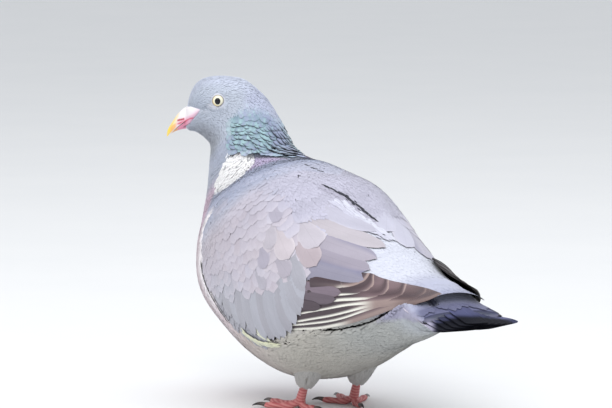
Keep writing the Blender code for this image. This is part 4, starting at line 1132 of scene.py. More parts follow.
    def panel(tone, edge, amount=0.5, dark=None, dark_side=1, dark_amount=0.0):
        """A feather of one tone with a paler rim, and a darker line along one side."""
        def colour(s, x, tt, ff, pick):
            c = np.zeros(s.shape + (3,)) + tone
            if dark is not None:
                c = mix(c, dark, dark_amount * smooth(0.25, 0.8, x * dark_side * side) * smooth(0.25, 0.6, s))
            c = mix(c, edge, amount * smooth(0.72, 1.0, np.maximum(np.abs(x), smooth(0.9, 1.0, s))))
            return shade(c, 1 - 0.05 * (1 - smooth(0.1, 0.6, s)) + 0.025 * np.sin(s * 9 + x * 3 + pick * 6))
        return colour

    pale = ink(200, 199, 216)
    tones = {"sec1": ink(88, 76, 84), "sec2": ink(110, 98, 108), "D": ink(150, 147, 165), "C": ink(160, 153, 168), "B": ink(171, 164, 178),
             "A": ink(190, 183, 191), "S": ink(190, 188, 204)}
    if side == -1:
        tones = {k: v * 0.5 + pale * 0.5 if k in ("D", "C", "B") else v for k, v in tones.items()}
        tones["A"], tones["S"] = pale, pale
    blue = ink(124, 124, 154)
    near = 0.0 if side == 1 else 0.24
    # the folded secondaries that show as a dark patch
    strap((17.7, 86), (19.64, 92), 8.5, -1.2, 0.2, panel(tones["sec1"], ink(56, 48, 56), 0.7), salt=1, bow=-10 * side)
    strap((17.8, 80), (20.0, 84), 9.0, -1.15, 0.25, panel(tones["sec2"], ink(66, 56, 64), 0.65), salt=2, bow=-10 * side)
    strap((17.9, 75), (20.08, 75.5), 8.5, -1.1, 0.3, panel(ink(132, 118, 130), ink(120, 98, 100), 0.6), salt=3, bow=-10 * side)
    # tertials, each over the one below it
    strap((17.2, 63), (20.42, 54), 17, -1.3, 0.1 - near, panel(tones["D"], ink(166, 162, 180), 0.4, blue, -1, 0.6), salt=4, bow=-12 * side)
    strap((17.1, 53), (20.28, 40), 16, -1.15, 0.07 - near, panel(tones["C"], ink(178, 172, 185), 0.4, blue, 1, 0.8), salt=5, bow=-11 * side)
    strap((17.0, 44), (20.02, 25), 16, -1.0, 0.12 - near, panel(tones["B"], ink(186, 179, 190), 0.4, blue, -1, 0.55), salt=6, bow=-10 * side)
    strap((16.9, 35), (19.6, 8), 16, -0.85, 0.17 - near, panel(tones["A"], ink(202, 195, 202), 0.4), salt=7, bow=-8 * side)
    strap((16.6, 26), (18.7, 3), 15, -0.75, 0.2 - near, panel(tones["S"], ink(216, 214, 228), 0.5), salt=8, bow=-5 * side)
    # the white edge of the wing under the coverts
    strap((15.35, 101), (18.2, 118.2), 6.5, -2.2, -0.7, panel(ink(238, 240, 214), ink(250, 250, 236), 0.4), salt=9, bow=14 * side)
    # greater coverts, fanned along the lower edge, each over the one outside it
    tips = [(16.35, 108.5), (17.00, 111.5), (17.36, 113.5), (17.98, 114.5), (18.34, 116), (18.56, 117), (18.84, 112), (19.08, 100), (19.14, 90), (19.06, 80)]
    roots = [(15.9, 99), (16.46, 96.5), (16.84, 91.5), (17.30, 87), (17.62, 82.5), (17.92, 78), (18.12, 74), (18.24, 70.5), (18.28, 66.5), (18.26, 61.5)]
    count = 15
    places = np.linspace(0, 9, count)
    tip_at, root_at = through(tips, places), through(roots, places)
    for k in range(count):
        tip, root = tip_at[k], root_at[k]
        start = root + 0.55 * (root - tip)
        shade_k = 0.5 + 0.5 * math.sin(k * 2.3)
        tone = ink(184, 185, 196) * (1 - shade_k) + ink(174, 173, 183) * shade_k
        strap(tuple(start), tuple(tip), 13.0, -0.9 + 0.02 * k, -0.3 + 0.035 * k, panel(tone, ink(196, 196, 207), 0.4), salt=20 + k,
              bow=-8 * side, rows=14, cols=7, shape="round")
    # the larger rounded coverts in the middle of the wing
    features = [((15.95, 42), (16.9, 46), 11, ink(178, 173, 188), ink(194, 190, 202)), ((16.55, 50), (17.40, 60), 12, ink(192, 186, 196), ink(206, 200, 208)),
                ((16.85, 62), (17.62, 70.5), 12, ink(178, 173, 188), ink(204, 199, 210)), ((17.1, 74), (17.9, 82), 9, ink(184, 180, 192), ink(200, 196, 206)),
                ((17.5, 60), (18.45, 69), 12, ink(182, 176, 188), ink(200, 194, 204)), ((17.55, 42), (18.98, 56.5), 15, ink(185, 172, 179), ink(200, 188, 194)),
                ((17.3, 36), (18.50, 41.5), 17, ink(196, 190, 200), ink(220, 213, 221)), ((16.95, 49), (18.10, 57.5), 15, ink(206, 197, 204), ink(228, 220, 226))]
    for k, (root, tip, width, tone, rim) in enumerate(features):
        if side == 1:
            strap(root, tip, width, -0.55, 0.10 + 0.02 * k, panel(tone, rim, 0.6), salt=60 + k, rows=12, cols=9, shape="round", rise=0.8)
    coat.make(name.replace("coat_wing", "coat_long"), FLIGHT, 0.8)

    # the folded flight feathers
    coat = Coat()
    ends = [20.0, 20.36, 20.50, 21.0, 21.6, 22.3, 22.9]

    def squeeze(line, wider=0.0):
        """The right wing's feathers are shorter and lie further round."""
        if side == 1:
            return line
        out = []
        for t, a in line:
            near = t if t < 19 else 19 + (t - 19) * 0.868
            out.append((near, a + float(np.interp(near, [19.0, 20.25, 20.8, 21.3, 21.8, 22.45], [0, -5, -6.7, 0.5, 17, 37])) - wider * smooth(19.2, 20.4, near)))
        return out

    for k, edge in enumerate(FLIGHT_EDGES):
        edge = squeeze(edge)
        end = edge[-1]
        top_all = squeeze(TOP_EDGE, 9.0)
        top = [p for p in top_all if p[0] < end[0] - 0.12] + [end]

        def depth(t, s, k=k):
            return 0.12 + 0.16 * k * (1 - 0.8 * smooth(ends[k] - 0.7, ends[k] + 0.1, t)) + 0.9 * (1 - smooth(18.7, 19.2, t))

        def lift(t, a, s):
            return (3.5 * smooth(19.4, 20.6, t) if side == -1 else 0.0) * (1 - 0.5 * smooth(60, 100, a))

        def a_of(t, k, edge=edge):
            line = np.asarray(edge, float)
            return np.interp(t, line[:, 0], line[:, 1]) if k > 3 else np.interp(t, np.maximum.accumulate(line[:, 0]) + np.arange(len(line)) * 1e-6, line[:, 1])

        def tint(t, gap, s, x, a, k=k):
            outer = np.maximum(smooth(20.55, 21.15, t), 1 - smooth(64, 74, a)) if k < 6 else smooth(19.9, 20.5, t)
            base = mix(ink(80, 68, 74) + 0 * t[..., None], ink(126, 104, 109), smooth(20.2, 20.9, t))
            base = mix(base, ink(92, 71, 72), smooth(21.2, 22.3, t))
            # on the outer feathers, the brown is darkened about 7 mm in from each edge as painted shade between the
            # curved ridges, and lightened towards the edge as a painted highlight on each ridge
            base = mix(base, ink(76, 59, 64), 0.95 * bell(gap, 7.4, 2.8) * outer)
            base = mix(base, ink(160, 141, 140), 0.8 * (1 - smooth(1.5, 4.6, gap)) * outer * (1 - 0.6 * smooth(21.5, 22.5, t)))
            rim = mix(ink(250, 248, 238) + 0 * t[..., None], ink(166, 145, 141), outer)
            rim = mix(rim, ink(130, 108, 102), smooth(21.6, 22.3, t))
            c = mix(base, rim, (1 - smooth(1.9 + 0.2 * outer, 2.6 + 1.2 * outer, gap)) * (1 - 0.6 * smooth(21.4, 22.5, t)) * (smooth(19.75, 20.05, t) if k < 2 else 1.0))
            if side == -1:
                c = mix(c, ink(17, 13, 18), 0.88 + 0 * t)
            return c

        strip(coat, side, edge, top, depth, tint, 0, lift=lift, salt=k)
    label = "left" if side == 1 else "right"
    flight = coat.make(f"primary_feathers_{label}", FLIGHT, 0.6)
    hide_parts(f"primaries_{label}")
    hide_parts(f"wing_{label}")
    return coat_wing


build_wing("coat_wing_left", 1, 200)
build_wing("coat_wing_right", -1, 500)


# ---------------------------------------------------------------- the line between the wings, painted as a dark shadow with a painted highlight beside it, and small gaps in the plumage painted dark as shade
def marks(coat, path, colour, length, width, lift, every, seed, stray=0.25, rise=0.04):
    """Fine feathers laid end to end along a line of (station, angle), over the plumage beside it."""
    rng = np.random.default_rng(seed)
    path = np.asarray(path, float)
    P = HULL.at(path[:, 0], path[:, 1])[0]
    step = np.concatenate([[0], np.cumsum(np.linalg.norm(np.diff(P, axis=0), axis=1))])
    where = np.arange(0, step[-1], every)
    where = where + rng.normal(0, every * 0.2, len(where))
    nodes = np.interp(np.clip(where, 0, step[-1]), step, np.arange(len(path)))
    line, ahead = through(path, nodes), through(path, np.minimum(nodes + 0.05, len(path) - 1))
    back = through(path, np.maximum(nodes - 0.05, 0))
    t, f = line[:, 0], line[:, 1]
    P, N, A, B = HULL.at(t, f)
    way = A * (ahead - back)[:, 0][:, None] + B * (ahead - back)[:, 1][:, None]
    e1 = unit(A)
    e2 = unit(B - (B * e1).sum(-1, keepdims=True) * e1)
    heading = np.degrees(np.arctan2((way * e2).sum(-1), (way * e1).sum(-1)))
    f = f + rng.normal(0, stray, len(f))
    n = len(t)
    vanes(coat, HULL, t, f, heading + rng.normal(0, 5, n), length * rng.uniform(0.8, 1.25, n), width * rng.uniform(0.7, 1.2, n), lift, lift + rise, colour, rows=2, cols=3,
          shape="hair", camber=0.03, seed=seed + 1, ragged=0.3)


def plain(tone, amount=0.05):
    return lambda s, x, tt, ff, pick: shade(np.zeros(s.shape + (3,)) + tone, 1 + amount * (pick - 0.5) * 2)


coat = Coat()
SEAM_LINE = [(16.2, 11.0), (16.45, 8.6), (16.70, 6.0), (17.02, 2.5), (17.36, 0), (17.72, -3.2), (18.0, -5.4)]
PAINTED_HIGHLIGHT_LINE = [(17.0, 6.0), (17.42, 3), (17.70, 0), (18.06, -2), (18.52, -4), (19.0, -7)]
# painted highlight: pale feathers along a line just behind the seam
for offset, tone in ((6.0, ink(200, 199, 216)), (4.0, ink(208, 208, 224)), (1.6, ink(216, 217, 231))):
    marks(coat, [(t + 0.03, f + offset) for t, f in PAINTED_HIGHLIGHT_LINE], plain(tone), 6.0, 2.2, 0.08, 0.8, 700 + int(offset * 10), stray=1.6, rise=0.07)
marks(coat, [(t, f + 2.6) for t, f in SEAM_LINE], plain(ink(178, 175, 193)), 5.0, 1.6, 0.1, 0.9, 720, stray=1.2, rise=0.07)
# painted shadow: dark feathers along the seam between the wings
marks(coat, SEAM_LINE, plain(ink(34, 36, 48)), 4.2, 0.95, 0.2, 0.7, 731, stray=0.4, rise=0.06)
marks(coat, SEAM_LINE[2:6], plain(ink(46, 48, 62)), 3.6, 1.0, 0.2, 0.9, 741, stray=0.7, rise=0.06)
for path in ([(13.5, 5.2), (13.78, 3.8)], [(14.05, 4.2), (14.32, 2.9)], [(14.6, 3.4), (14.85, 2.4)]):
    marks(coat, path, plain(ink(52, 54, 70)), 3.4, 0.9, 0.16, 0.8, 760 + int(path[0][0] * 10), stray=0.3)
for t, f in ((14.34, 35.5), (15.42, 33.0)):
    marks(coat, [(t - 0.07, f - 1.2), (t + 0.05, f + 1.2)], plain(ink(184, 184, 202)), 5.5, 2.4, 0.2, 0.8, 770 + int(f), stray=0.6)
for side in (1, -1):
    # the narrow gap in front of the folded wing, painted dark as its shadow, and its pale lower edge
    marks(coat, [(t, side * a) for t, a in ((14.9, 95.5), (15.0, 97.0), (15.32, 102.5), (15.60, 106.5), (16.02, 111.5), (16.5, 116.5))], plain(ink(34, 31, 36)), 4.2, 1.5, 0.14, 0.8, 780 + side, stray=0.4)
    for step, tone in ((-0.6, ink(236, 237, 204)), (0.9, ink(220, 221, 196))):
        marks(coat, [(t, side * (a + step)) for t, a in ((17.15, 115.5), (17.5, 117.0), (17.96, 118.0), (18.3, 119.2))], plain(tone), 5.5, 1.6, 0.06, 0.9, 790 + side + int(step * 5), stray=0.6)
coat.make("coat_seam", DOWN, 0.85)

# ---------------------------------------------------------------- tail
coat = Coat()
tail_rows = np.array([row[:9] for row in TAIL_STATIONS], float)


def tail_at(y):
    """Middle, height, upper depth, lower depth and half width of the tail at a distance back."""
    where = np.interp(y, tail_rows[:, 1], np.arange(len(tail_rows)))
    row = through(tail_rows, where)
    return row[..., 0], row[..., 2], row[..., 5], row[..., 6], row[..., 7]


rows, cols = 44, 13
for k in range(6):
    for side in (1, -1):
        place_k = side * (k + 0.35) / 5.35        # 0 in the middle, 1 at the edge
        s = np.linspace(0, 1, rows + 2)[:, None]
        x = np.linspace(-1, 1, cols)[None, :]
        tip_y = 220.8 - 2.2 * abs(place_k) ** 3
        y = 150 + (tip_y - 150) * (1 - (1 - s) ** 1.15)
        cx, cz, up, lowd, half = tail_at(np.clip(y, 163.7, 217))
        half = half + 0.02 * np.clip(y - 200, 0, 30)
        left = np.clip((tip_y - y) / 5.0, 0, 1)
        round_in = np.sqrt(np.clip(1 - (1 - left) ** 2, 0, 1))
        middle = place_k * (half - 6.0)
        inner_vane, outer_vane = abs(place_k) * 21.0 + 6.0, 6.2
        reach = np.where(x * side > 0, outer_vane, inner_vane) * round_in * (0.55 + 0.45 * smooth(0, 0.35, s))
        across = np.clip(middle + x * reach, -half + 0.12, half - 0.12)
        curve = np.sqrt(np.clip(1 - (across / half) ** 2, 0, 1)) ** 0.9
        # the pair in the middle lies on top, and each one outside it lies under the last
        spread_out = 0.12 + 0.80 * smooth(178, 200, y)
        level = up * 0.95 - (up + lowd - 0.5) * (k / 5.0) * spread_out
        z = cz + level * curve - 0.16 * k - (0.1 if side == -1 else 0.0) - 1.0 * (1 - smooth(152, 176, y))
        z = z + 2.6 * smooth(0.1, 1.0, -across / half) * smooth(186, 215, y)
        points = np.stack([cx + across, y + 0 * across, z], -1)
        lateral = across / half
        yy = y + 0 * x
        slate = mix(ink(140, 142, 172), ink(88, 91, 126), smooth(178, 196, yy - 6 * np.clip(lateral, 0, 1)))
        slate = mix(slate, ink(66, 69, 104), smooth(196, 210, yy))
        slate = mix(slate, ink(120, 122, 156), 0.6 * smooth(-0.45, -0.85, lateral) * (1 - smooth(204, 214, yy)))
        pale = smooth(0.60, 0.80, lateral + 0.012 * (196 - yy)) * (1 - smooth(211, 219, yy + 16 * (0.95 - lateral)))
        slate = mix(slate, ink(182, 178, 200), pale)
        slate = mix(slate, ink(212, 206, 216), 0.7 * smooth(0.93, 0.99, lateral) * (1 - smooth(204, 210, yy)))
        band = smooth(203, 211, yy + 6 * smooth(-0.2, 0.7, lateral)) * 0.95 * (1 - 0.65 * smooth(0.72, 0.92, -lateral)) * (1 - 0.8 * pale)
        band = np.maximum(band, 0.55 * smooth(0.25, 0.55, np.abs(lateral)) * smooth(192, 203, yy) * (1 - pale) * (1 - smooth(0.72, 0.92, -lateral)))
        band = np.maximum(band, 0.6 * bell(lateral, 0.52, 0.13) * smooth(184, 192, yy))
        tint = mix(slate, ink(8, 9, 15), np.clip(band, 0, 1))
        tint = shade(tint, 1 + 0.05 * np.sin(across * 2.1 + k) + 0.05 * np.sin(across * 5.3) + 0.04 * np.sin(across * 9.1 + yy * 0.05))
        n0 = rows + 2
        idx = np.arange(n0 * cols).reshape(n0, cols)
        q = np.stack([idx[:-1, :-1], idx[:-1, 1:], idx[1:, 1:], idx[1:, :-1]], -1).reshape(-1, 4)
        top_tri = np.concatenate([q[:, [0, 1, 2]], q[:, [0, 2, 3]]])
        m = n0 * cols
        low_points = (points - np.array([0, 0, 0.28])).reshape(-1, 3)
        low_tri = top_tri[:, ::-1] + m
        rim = np.concatenate([idx[0, :-1], idx[:-1, -1], idx[-1, :0:-1], idx[:0:-1, 0]])
        rim2 = np.roll(rim, -1)
        sides = np.concatenate([np.stack([rim, rim2, rim2 + m], -1), np.stack([rim, rim2 + m, rim + m], -1)])[:, ::-1]
        number = k * 2 + (side < 0)
        vane = np.stack([x * reach + 0 * s, s * 70 + number * 17.3 + 0 * x], -1).reshape(-1, 2)
        bake = np.stack([0.02 + 0.08 * number + 0.06 * (x + 1) / 2 + 0 * s, 0.03 + 0.94 * s + 0 * x], -1).reshape(-1, 2)
        below = mix(tint, ink(150, 154, 170), 0.5 * (1 - smooth(190, 204, yy)))
        facing = unit(np.stack([lateral * 0.6, -0.05 + 0 * lateral, 1 + 0 * lateral], -1)).reshape(-1, 3)
        coat.take(np.concatenate([points.reshape(-1, 3), low_points]), np.concatenate([top_tri, low_tri, sides]),
                  np.concatenate([tint.reshape(-1, 3), below.reshape(-1, 3) * 0.9]), np.concatenate([vane, vane]),
                  np.concatenate([bake, bake]), np.concatenate([facing, facing * np.array([1, 1, -1])]))
tail = coat.make("tail_feathers", TAIL, 0.45)
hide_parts("tail")

# coverts over and under the root of the tail
coat = Coat()
tail_rng = np.random.default_rng(61)
t, f = scatter(TRUNK, (21.6, 23.6), (-180, 180), lambda t, f: 1.9 + 0 * t, lambda t, f: 1.0 * ((np.abs(f) > 84) | ((t < 23.15 + 0.12 * np.sin(f * 0.13) + 0.08 * np.sin(f * 0.31)) & (primary_cover(t, f) < 0.12))), 62)


def tail_covert(s, x, tt, ff, pick):
    return shade(body_colour(tt, ff), (1 + 0.05 * (pick - 0.5)))


over = np.abs(f) < 84
vanes(coat, TRUNK, t, f, tail_rng.normal(0, 5, len(t)), np.where(over, 13.0, 12.0), np.where(over, 6.0, 3.4), np.where(over, np.clip(sunk(t, f) - 0.6, -0.45, 0.3), -0.6), np.where(over, 0.02, 0.0) + 0.08 * tail_rng.random(len(t)), tail_covert,
      rows=4, cols=5, shape="soft", camber=0.02, seed=63, ragged=0.2)
coat.make("coat_tail_coverts", DOWN, 0.85)
# ---------------------------------------------------------------- skin
def tube_points(path, radii, sides=20, floor=None, round_end=True):
    path = [Vector(p) for p in path]
    rings = []
    for i, (p, r) in enumerate(zip(path, radii)):
        along = (path[min(i + 1, len(path) - 1)] - path[max(i - 1, 0)]).normalized()
        side = along.cross(Vector((0, 0, 1)))
        side = side.normalized() if side.length > 0.2 else along.cross(Vector((0, 1, 0))).normalized()
        up = side.cross(along).normalized()
        ring = []
        for k in range(sides):
            a = 2 * math.pi * k / sides
            q = p + (side * math.cos(a) + up * math.sin(a)) * r
            if floor is not None:
                q.z = max(q.z, floor)
            ring.append(tuple(q))
        rings.append(ring)
    return rings


def ring_mesh(name, rings):
    """A closed mesh object from rings of equal length, in millimetres."""
    rings = np.asarray(rings, float)
    n, m = rings.shape[:2]
    idx = np.arange(n * m).reshape(n, m)
    nxt = np.roll(idx, -1, 1)
    q = np.stack([idx[:-1], nxt[:-1], nxt[1:], idx[1:]], -1).reshape(-1, 4)
    tris = np.concatenate([q[:, [0, 1, 2]], q[:, [0, 2, 3]]])
    points = np.concatenate([rings.reshape(-1, 3), [rings[0].mean(0)], [rings[-1].mean(0)]])
    a, b = n * m, n * m + 1
    tris = np.concatenate([tris, np.stack([np.full(m, a), nxt[0], idx[0]], -1), np.stack([np.full(m, b), idx[-1], nxt[-1]], -1)])
    volume = np.einsum("ij,ij->i", points[tris[:, 0]], np.cross(points[tris[:, 1]], points[tris[:, 2]])).sum()
    if volume < 0:
        tris = tris[:, ::-1]
    return quick_mesh(name, points, tris, sharp=None)


def apply_all(thing):
    graph = bpy.context.evaluated_depsgraph_get()
    fresh = bpy.data.meshes.new_from_object(thing.evaluated_get(graph))
    thing.modifiers.clear()
    old = thing.data
    thing.data = fresh
    bpy.data.meshes.remove(old)
    return thing


def boolean(thing, other, kind):
    cut = thing.modifiers.new("shape", "BOOLEAN")
    cut.operation = kind
    cut.solver = "MANIFOLD"
    cut.object = other
    apply_all(thing)
    bpy.data.objects.remove(other)
    return thing


def remesh(thing, size, smoothing=0):
    m = thing.modifiers.new("remesh", "REMESH")
    m.mode = "VOXEL"
    m.voxel_size = size * 0.001
    if smoothing:
        s = thing.modifiers.new("smooth", "SMOOTH")
        s.iterations = smoothing
        s.factor = 0.5
    return apply_all(thing)


def skin_depth(station, angle):
    deep = 0.55 + 0.35 * smooth(7.2, 8.4, station) - 0.3 * smooth(12.0, 13.4, station)
    return deep + sunk(station, angle)


SKIN_LAST = 24.2
stations = np.linspace(0.0, SKIN_LAST, 300)[:, None]
angles = (np.arange(160) * 2.25)[None, :]
signed = np.where(angles > 180, angles - 360, angles)
rings = body(stations + 0 * angles, angles + 0 * stations, skin_depth(stations, signed), BODY_TABLE)
skin = ring_mesh("skin", rings)

EYES = []
for side in (1, -1):
    EYES.append(at_bill(EYE_FORWARD, side * EYE_SPREAD, EYE_UP))
EYE_R = 4.5
LID_H, LID_V = 3.35, 3.5         # half openings of the lids


def eye_dome(side, polar, around, radius):
    """A point of the eyeball: polar angle from its outward axis, and angle round it."""
    polar, around = np.asarray(polar, float), np.asarray(around, float)
    centre = EYES[0] if side == 1 else EYES[1]
    return (centre + radius * (np.cos(polar)[..., None] * (side * LEFT)
            + (np.sin(polar) * np.cos(around))[..., None] * FORWARD + (np.sin(polar) * np.sin(around))[..., None] * UP))


# a socket is cut for each eyeball, and a ring of lid stands round it
for side in (1, -1):
    polar = np.linspace(0.0, math.pi, 22)[1:-1]
    ring = np.linspace(0, 2 * math.pi, 40, endpoint=False)
    ball = ring_mesh("socket", [eye_dome(side, np.full(40, p), ring, EYE_R + 0.12) for p in polar])
    boolean(skin, ball, "DIFFERENCE")
    sections = []
    for a in np.linspace(0, 2 * math.pi, 72, endpoint=False):
        opening = 1 / math.hypot(math.cos(a) / LID_H, math.sin(a) / LID_V)
        crease = 1 + 0.03 * math.sin(5 * a + 1) + 0.05 * max(0.0, -math.sin(a))
        profile = []
        for b in np.linspace(0, 2 * math.pi, 16, endpoint=False):
            out = opening + 0.5 * crease + 0.5 * crease * math.cos(b)
            polar_at = math.asin(min(out / EYE_R, 0.985))
            height = EYE_R + 0.02 + 0.26 * (1 + math.sin(b)) - 0.9 * smooth(0.2, 1.0, math.cos(b)) * (1 - math.sin(b)) * 0.5
            profile.append(eye_dome(side, polar_at, a, height))
        sections.append(profile)
    sections = np.asarray(sections)
    n, m = sections.shape[:2]
    idx = np.arange(n * m).reshape(n, m)
    q = np.stack([idx, np.roll(idx, -1, 1), np.roll(np.roll(idx, -1, 1), -1, 0), np.roll(idx, -1, 0)], -1).reshape(-1, 4)
    tris = np.concatenate([q[:, [0, 1, 2]], q[:, [0, 2, 3]]])
    pts = sections.reshape(-1, 3)
    if np.einsum("ij,ij->i", pts[tris[:, 0]], np.cross(pts[tris[:, 1]], pts[tris[:, 2]])).sum() < 0:
        tris = tris[:, ::-1]
    lid = quick_mesh("lid", pts, tris, sharp=None)
    boolean(skin, lid, "UNION")

# legs: shank, toes with their rows of scutes, and the feathered thigh
TOES = [("middle", 0.0, 30.0), ("inner", 42.0, 22.0), ("outer", -38.0, 23.0), ("hind", 176.0, 15.0)]
CLAW_LENGTH = 8.0
claw_rings = []
leg_zone = []
for side in (1, -1):
    foot = Vector((FOOT_X, FOOT_Y, KNUCKLE_Z))
    heel = foot + Vector((-1.0, 10.0, 20.5))
    pieces = []
    share = np.linspace(-0.06, 1.5, 60)
    base = np.interp(share, [-0.06, 0.18, 0.4, 0.62, 0.84, 1.0, 1.18, 1.5], [1.15, 1.08, 0.96, 0.94, 1.0, 1.2, 1.5, 1.9])
    scute = 1 + 0.035 * np.abs(np.sin(share * 20.5 / 2.1 * math.pi / 1.0))
    path = [foot + (heel - foot) * float(x) for x in share]
    pieces.append(tube_points(path, TARSUS_RADIUS * base * scute, 20))
    for order, (toe, bearing, length) in enumerate(TOES):
        heading = math.radians(-90.0 + (FOOT_SPLAY - bearing))
        ahead = Vector((math.cos(heading), math.sin(heading), 0.0))
        path, radii = [], []
        for x in np.linspace(0, 1, 50):
            height = KNUCKLE_Z * (1 - smooth(0.0, 0.42, x)) + TOE_RADIUS * 0.78 * smooth(0.0, 0.42, x)
            pad = 1.0 + 0.10 * math.cos(x * math.pi * 5) + 0.035 * abs(math.sin(x * length / 1.7 * math.pi))
            start = -1.3 - 0.31 * order
            path.append(Vector((foot.x, foot.y, 0)) + ahead * (start + (length - start) * float(x)) + Vector((0, 0, float(height) - 0.17 * order * (1 - x))))
            radii.append(TOE_RADIUS * pad * (1.0 - 0.24 * x) * (1.0 if x < 0.98 else 0.8))
        pieces.append(tube_points(path, radii, 20, floor=0.0))
        end, r = path[-1], TOE_RADIUS * 0.72
        cpath, cradii = [], []
        for x in np.linspace(0, 1, 14):
            cpath.append(end + ahead * (-0.6 + (CLAW_LENGTH + 0.6) * float(x)) + Vector((0, 0, 0.9 * math.sin(x * 2.4) - 1.5 * x**2 + 0.15)))
            cradii.append(1.38 * (1 - x) ** 0.75 + 0.16)
        claw_rings.append((("left" if side == 1 else "right") + "_" + toe, side, tube_points(cpath, cradii, 16, floor=0.05)))
    # thigh
    path, radii = [], []
    for x in np.linspace(0, 1, 16):
        path.append(heel + (foot - heel) * (0.52 * (1 - float(x))) + Vector((0, 3.0 * x, 9.0 * x + 5 * max(0, x - 0.8))))
        radii.append(3.2 + 8.6 * x**0.8)
    pieces.append(tube_points(path, radii, 24))
    made = [ring_mesh("piece", np.asarray(rings) * np.array([side, 1, 1])) for rings in pieces]
    first = made[0]
    for other in made[1:]:
        boolean(first, other, "UNION")
    remesh(first, 0.42, 2)
    co = np.zeros(len(first.data.vertices) * 3, np.float32)
    first.data.vertices.foreach_get("co", co)
    co = co.reshape(-1, 3)
    co[:, 2] = np.maximum(co[:, 2], 0.0)
    first.data.vertices.foreach_set("co", co.ravel())
    boolean(skin, first, "UNION")

# the colour of the skin
co = np.zeros(len(skin.data.vertices) * 3, np.float32)
skin.data.vertices.foreach_get("co", co)
co = co.reshape(-1, 3).astype(float) * 1000 + np.array([0, CENTRE_Y, 0])
sample_t, sample_f = np.meshgrid(np.linspace(0, SKIN_LAST, 240), np.arange(-180, 180, 3.0), indexing="ij")
sample_p = TRUNK.at(sample_t, sample_f)[0].reshape(-1, 3)
tree = kdtree.KDTree(len(sample_p))
for i, p in enumerate(sample_p):
    tree.insert(p, i)
tree.balance()
nearest = np.array([tree.find(p)[1] for p in co])
st, sf = sample_t.ravel()[nearest], sample_f.ravel()[nearest]
tint = body_colour(st, sf)
# painted shade on the skin under the ruffled rows of the neck
tint = mix(tint, ink(44, 52, 64), 0.85 * ruffled(st, np.abs(sf)))
ed = np.minimum(np.linalg.norm(co - EYES[0], axis=1), np.linalg.norm(co - EYES[1], axis=1))
hf, hl, hu = head_place(co)
ring_out = np.hypot(hf - EYE_FORWARD, hu - EYE_UP)
lid_zone = (1 - smooth(5.2, 5.6, ed))
tint = mix(tint, ink(206, 208, 220), lid_zone)
tint = mix(tint, ink(112, 114, 124), lid_zone * (1 - smooth(3.55, 3.95, ring_out)))
below = 1 - smooth(21.0, 23.0, co[:, 2] + 0.35 * (co[:, 1] - 30))
legs = below * (co[:, 2] < 40)
scute_tone = 0.5 + 0.5 * np.sin(co[:, 2] * 3.0 + co[:, 1] * 1.1)
leg_c = mix(ink(196, 96, 100), ink(226, 150, 146), scute_tone)
tint = mix(tint, leg_c, legs)
for attribute in list(skin.data.attributes):
    if attribute.name == "tint":
        skin.data.attributes.remove(attribute)
layer = skin.data.color_attributes.new("tint", "FLOAT_COLOR", "POINT")
rgba = np.ones((len(co), 4), np.float32)
rgba[:, :3] = np.clip(tint, 0, 1)
layer.data.foreach_set("color", rgba.ravel())
skin.data.materials.clear()
skin.data.materials.append(SKIN)
skin.data.materials.append(LEG_SKIN)
polys = np.zeros(len(skin.data.polygons), np.int32)
centres = np.zeros(len(polys) * 3, np.float32)
skin.data.polygons.foreach_get("center", centres)
centres = centres.reshape(-1, 3) * 1000
polys[(centres[:, 2] < 21) & True] = 1
skin.data.polygons.foreach_set("material_index", polys)
skin.data.shade_smooth()
skin.data.set_sharp_from_angle(angle=math.radians(50))
layer = skin.data.uv_layers.new(name="OFBake")
loops = np.zeros(len(skin.data.loops), np.int32)
skin.data.loops.foreach_get("vertex_index", loops)
uv = np.stack([(sf + 180) / 360, st / SKIN_LAST], -1)[loops]
layer.data.foreach_set("uv", uv.astype(np.float32).ravel())
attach(skin, "root")
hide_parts("head", "neck", "trunk", "thigh_left", "thigh_right", "leg_left", "leg_right")
print("skin", len(skin.data.polygons), "faces")

# thigh feathers
for label, side in (("left", 1), ("right", -1)):
    foot = Vector((FOOT_X, FOOT_Y, KNUCKLE_Z))
    heel = foot + Vector((-1.0, 10.0, 20.5))
    path, radii = [], []
    shares = np.linspace(0, 1, 60)
    for x in shares:
        path.append(heel + (foot - heel) * (0.52 * (1 - float(x))) + Vector((0, 3.0 * x, 9.0 * x)))
        radii.append(4.6 + 8.4 * x**0.8)
    rings = np.asarray(tube_points(path, radii, 120)) * np.array([side, 1, 1])
    surface = Surface(rings, 0.0, 1.0, rings.mean(1, keepdims=True))
    t, f = scatter(surface, (0.1, 1.0), (-180, 180), lambda t, f: 1.3 + 0 * t, lambda t, f: 1.0 + 0 * t, 71)
    coat = Coat()
    thigh_rng = np.random.default_rng(72)

    def thigh_colour(s, x, tt, ff, pick):
        c = np.zeros(s.shape + (3,)) + ink(190, 188, 186)
        return shade(c, (1 + 0.08 * (pick - 0.5)) * (1 - 0.12 * (1 - smooth(0.3, 0.7, s))))

    vanes(coat, surface, t, f, 180 + thigh_rng.normal(0, 8, len(t)), 5.5 * (0.4 + 0.6 * smooth(0, 0.5, t)), 2.4, -1.2, 0.1 + 0.3 * thigh_rng.random(len(t)), thigh_colour,
          rows=2, cols=3, shape="soft", camber=0.06, seed=73)
    coat.make(f"coat_thigh_{label}", DOWN)

